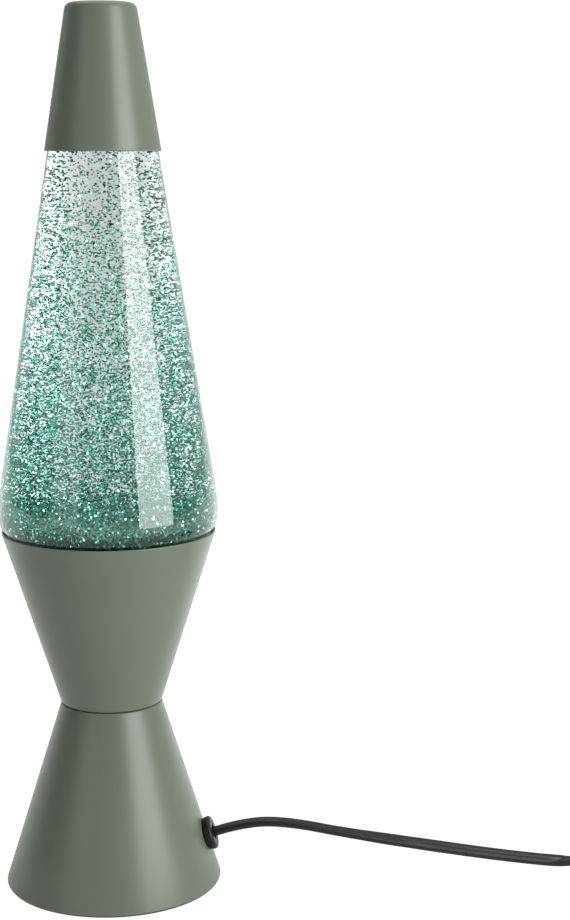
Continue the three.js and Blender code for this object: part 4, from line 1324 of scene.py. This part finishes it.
def make_crown():
    bottom, top = low("crown_closure"), high("crown_closure")
    outer = high("crown_closure", 0) - 0.1
    plain = outer - 2.4
    crown = turn("crown_closure_fluted", [
        (0, top - 0.5),
        (plain - 0.6, top - 0.5),
        (plain - 0.1, top - 1.3),
        (plain + 0.6, top - 3.0),
        (outer - 0.6, bottom),
        (outer, bottom),
        (plain + 1.2, top - 2.8),
        *corner_arc(plain - 0.6, top - 1.0, 1.0, 8, 90, 5),
        (0, top),
    ], sides=CROWN_FLUTES * 8, smooth_angle=50)
    start_editing(crown)
    mesh = bmesh.from_edit_mesh(crown.data)
    for corner in mesh.verts:
        place = corner.co / MM
        flute = math.cos(CROWN_FLUTES * math.atan2(place.y, place.x))
        depth = FLUTE_DEPTH * ramp(top - 1.2 - place.z, 0, 4.2)
        if place.xy.length > 1:
            shrink = 1 - depth * (0.5 - 0.5 * flute) / place.xy.length
            corner.co.x *= shrink
            corner.co.y *= shrink
    bmesh.update_edit_mesh(crown.data)
    stop_editing()
    give(crown, sage_paint)
    return crown


crown = make_crown()
hand_in(crown, "globe", "sage_paint", "crown_closure")

# %% [markdown]
# ## In-line switch
# Two moulded shells with soft edges, a seam between them, a well for the rocker, and two screws
# underneath. Each shell is a block whose upright edges are bevelled widely and whose rim is
# bevelled finely. It is drawn along X and then turned to follow the cord.

# %% Switch frame
SWITCH_START = Vector((236.0, -13.6, 0.0))
SWITCH_TURN = math.radians(-11.5)
SWITCH_LENGTH, SWITCH_WIDTH = 62.0, 24.0
SWITCH_MIDDLE = SWITCH_LENGTH / 2


def follow_cord(piece, start=SWITCH_START, turn_by=SWITCH_TURN):
    piece.rotation_euler.z = turn_by
    piece.location = start * MM
    put_place_in_mesh(piece)
    return piece


def bevel_edges(piece, chosen, width, segments):
    """Bevels the edges whose two ends pass the test."""
    start_editing(piece, kind="EDGE")
    mesh = bmesh.from_edit_mesh(piece.data)
    for edge in mesh.edges:
        edge.select_set(chosen(*(end.co.z / MM for end in edge.verts)))
    bmesh.update_edit_mesh(piece.data)
    bpy.ops.mesh.bevel(offset=width * MM, segments=segments, affect="EDGES")
    stop_editing()


def rounded_block(name, lows, highs, corner, edge, edge_on_top=True):
    """A block with wide upright corners and a fine bevel round one face."""
    block = add_block(name, lows, highs)
    level = (highs if edge_on_top else lows)[2]
    bevel_edges(block, lambda a, b: abs(a - b) > 0.01, corner, 8)
    bevel_edges(block, lambda a, b: max(abs(a - level), abs(b - level)) < 0.001, edge, 4)
    smooth(block, 30)
    return block


# %% Switch shells
WELL_LENGTH, WELL_WIDTH = 19.8, 11.2
SWITCH_SCREWS = ((9, -6), (53, 6))


def make_switch_shells():
    bottom, seam_low = low("switch_lower"), high("switch_lower")
    seam_high, top = low("switch_upper"), high("switch_upper")
    half = SWITCH_WIDTH / 2
    lower = rounded_block("switch_tray", (0, -half, bottom), (SWITCH_LENGTH, half, seam_low),
                          7, 1.6, edge_on_top=False)
    upper = rounded_block("switch_cover", (0, -half, seam_high), (SWITCH_LENGTH, half, top), 7, 2.2)
    reach, side = WELL_LENGTH / 2, WELL_WIDTH / 2
    well = rounded_block("rocker_well", (SWITCH_MIDDLE - reach, -side, seam_high + 1.2),
                         (SWITCH_MIDDLE + reach, side, top + 3), 1.0, 0.2)
    cut(upper, well)
    for x, y in SWITCH_SCREWS:
        cut(lower, add_rod("screw_well", 2.6, bottom - 1, bottom + 2.2, 32, (x, y)))
    for shell in (lower, upper):
        smooth(shell, 30)
        give(shell, black_plastic)
        follow_cord(shell)
    return lower, upper


switch_tray, switch_cover = make_switch_shells()
hand_in(switch_tray, "base", "black_plastic", "switch_lower")
hand_in(switch_cover, "base", "black_plastic", "switch_upper")


# %% [markdown]
# The rocker's top is a shallow valley with three grip ribs at one end. It is extruded sideways
# from an outline, as such a rocker is moulded, and tilted about its pin.

# %% Rocker
ROCKER_TILT = math.radians(-8)


def make_rocker():
    pin_height = (low("rocker_pin") + high("rocker_pin")) / 2
    half_length, half_width, reach = 9.3, 5.0, 8.4
    angles = np.linspace(math.radians(28), math.radians(152), 13)
    crest = [(reach * 1.12 * math.cos(a), reach * 0.62 + 1.1 * math.cos(a) ** 2) for a in angles]
    under = [(-half_length * 0.93, 1.0), (-3.2, -2.6), (3.2, -2.6), (half_length * 0.93, 1.0)]
    outline = [*crest, *under]
    clear_selection()
    bpy.ops.mesh.primitive_circle_add(vertices=len(outline), radius=1, fill_type="NGON")
    rocker = named("rocker_key")
    start_editing(rocker)
    mesh = bmesh.from_edit_mesh(rocker.data)
    for corner, (x, z) in zip(mesh.verts, outline, strict=True):
        corner.co = Vector((x, half_width, z)) * MM
    bmesh.update_edit_mesh(rocker.data)
    bpy.ops.mesh.select_all(action="SELECT")
    across = (0, -2 * half_width * MM, 0)
    bpy.ops.mesh.extrude_region_move(TRANSFORM_OT_translate={"value": across})
    stop_editing()
    make_outward(rocker)
    bevel(rocker, 0.35, 3, 30)
    ribs = []
    for x in (-6.6, -5.0, -3.4):
        rib = add_block("grip_rib", (x - 0.3, -3.4, 5.0), (x + 0.3, 3.4, 6.35))
        bevel(rib, 0.15, 2)
        ribs.append(rib)
    rocker = join("rocker_key", [rocker, *ribs])
    rocker.rotation_euler.y = ROCKER_TILT
    put_place_in_mesh(rocker)
    smooth(rocker, 30)
    give(rocker, black_plastic)
    pin = Vector((SWITCH_MIDDLE * math.cos(SWITCH_TURN), SWITCH_MIDDLE * math.sin(SWITCH_TURN),
                  pin_height))
    return follow_cord(rocker, SWITCH_START + pin)


rocker_key = make_rocker()
hand_in(rocker_key, "rocker", "black_plastic", "switch_rocker")

# %% [markdown]
# ## Plug
# A flat two-pin plug: a moulded body with a waist to grip, a ribbed boot where the cord enters,
# and two round pins with insulated roots and domed tips.

# %% Plug
PLUG_START = Vector((315.0, 40.8, 7.45))
PLUG_TURN = math.radians(-166.5)


def along_plug(piece):
    return follow_cord(piece, PLUG_START, PLUG_TURN)


def lay_along_x(piece):
    """Turns a piece drawn up Z to lie along X."""
    piece.rotation_euler.y = math.radians(90)
    put_place_in_mesh(piece)
    return piece


def make_plug_body():
    body = add_block("plug_grip", (18.0, -13.0, -6.85), (54.3, 13.0, 6.85))
    start_editing(body, "SELECT")
    bpy.ops.mesh.subdivide(number_cuts=7)
    mesh = bmesh.from_edit_mesh(body.data)
    for corner in mesh.verts:
        x = corner.co.x / MM
        waist = math.exp(-(((x - 33.0) / 9.0) ** 2))
        shoulder = 0.45 * (1 - ramp(x, 18, 30))
        corner.co.y *= 1 - 0.17 * waist - shoulder
        corner.co.z *= 1 - 0.10 * waist - 0.35 * (1 - ramp(x, 18, 27))
    bmesh.update_edit_mesh(body.data)
    stop_editing()
    bevel(body, 2.4, 4)
    ribs = [(4.0 + 0.11 * z + (0.45 if i % 2 else 0), z)
            for i, z in enumerate(np.arange(1.8, 17.0, 0.95))]
    boot_rings = [(0, 0.3), (3.5, 0.3), (3.9, 0.8), *ribs, (6.2, 18.3), (0, 18.3)]
    boot = turn("plug_boot", boot_rings, sides=40, smooth_angle=25)
    body = join("plug_grip", [body, lay_along_x(boot)])
    smooth(body, 30)
    give(body, black_plastic)
    return along_plug(body)


PIN_RADIUS, PIN_APART = 2.0, 18.6
PIN_ROOT, PIN_END = 54.0, 73.3
PIN_DOME = 1.4


def make_pin(name, side):
    shaft = [(0, PIN_ROOT), (PIN_RADIUS, PIN_ROOT), (PIN_RADIUS, PIN_END - PIN_DOME - 0.3)]
    tip = corner_arc(PIN_RADIUS - PIN_DOME, PIN_END - PIN_DOME, PIN_DOME, 0, 90, 6)
    pin = turn(name, [*shaft, *tip, (0, PIN_END)], sides=40)
    lay_along_x(pin)
    pin.location.y = side * PIN_APART / 2 * MM
    put_place_in_mesh(pin)
    give(pin, plated_steel)
    return along_plug(pin)


plug_grip = make_plug_body()
hand_in(plug_grip, "base", "black_plastic", "plug_body")
plug_pins = [make_pin("plug_prong_1", -1), make_pin("plug_prong_2", 1)]
for number, pin in enumerate(plug_pins, 1):
    hand_in(pin, "base", "tinned_steel", f"plug_pin_{number}")

# %% [markdown]
# ## The rest of the frame
# The engineer's own shapes are right for the pieces inside the base, so they stay, and only get
# their finishes. Each piece's finish follows its slot in the record.

# %% Finishes of the frame's pieces
bulb_glass = make_glass("bulb_glass", GLASS_TO_AIR, (0.97, 0.97, 0.95, 1))
finish_of_slot = {
    "sage_paint": sage_paint, "clear_glass": dry_glass, "bulb_glass": bulb_glass,
    "lamp_liquid": liquid_tint, "green_flakes": green_film, "black_rubber": black_rubber,
    "black_plastic": black_plastic, "white_plastic": white_plastic, "brass": brass,
    "tinned_steel": plated_steel, "black_glass": black_glass, "filament_wire": filament_wire,
    "cord_sheath": sheath, "brown_insulation": brown_sheath, "blue_insulation": blue_sheath,
}
for subpart in frame["record"]["subparts"]:
    give(frame["nodes"][subpart["node"]], finish_of_slot[subpart["material_slot"]])
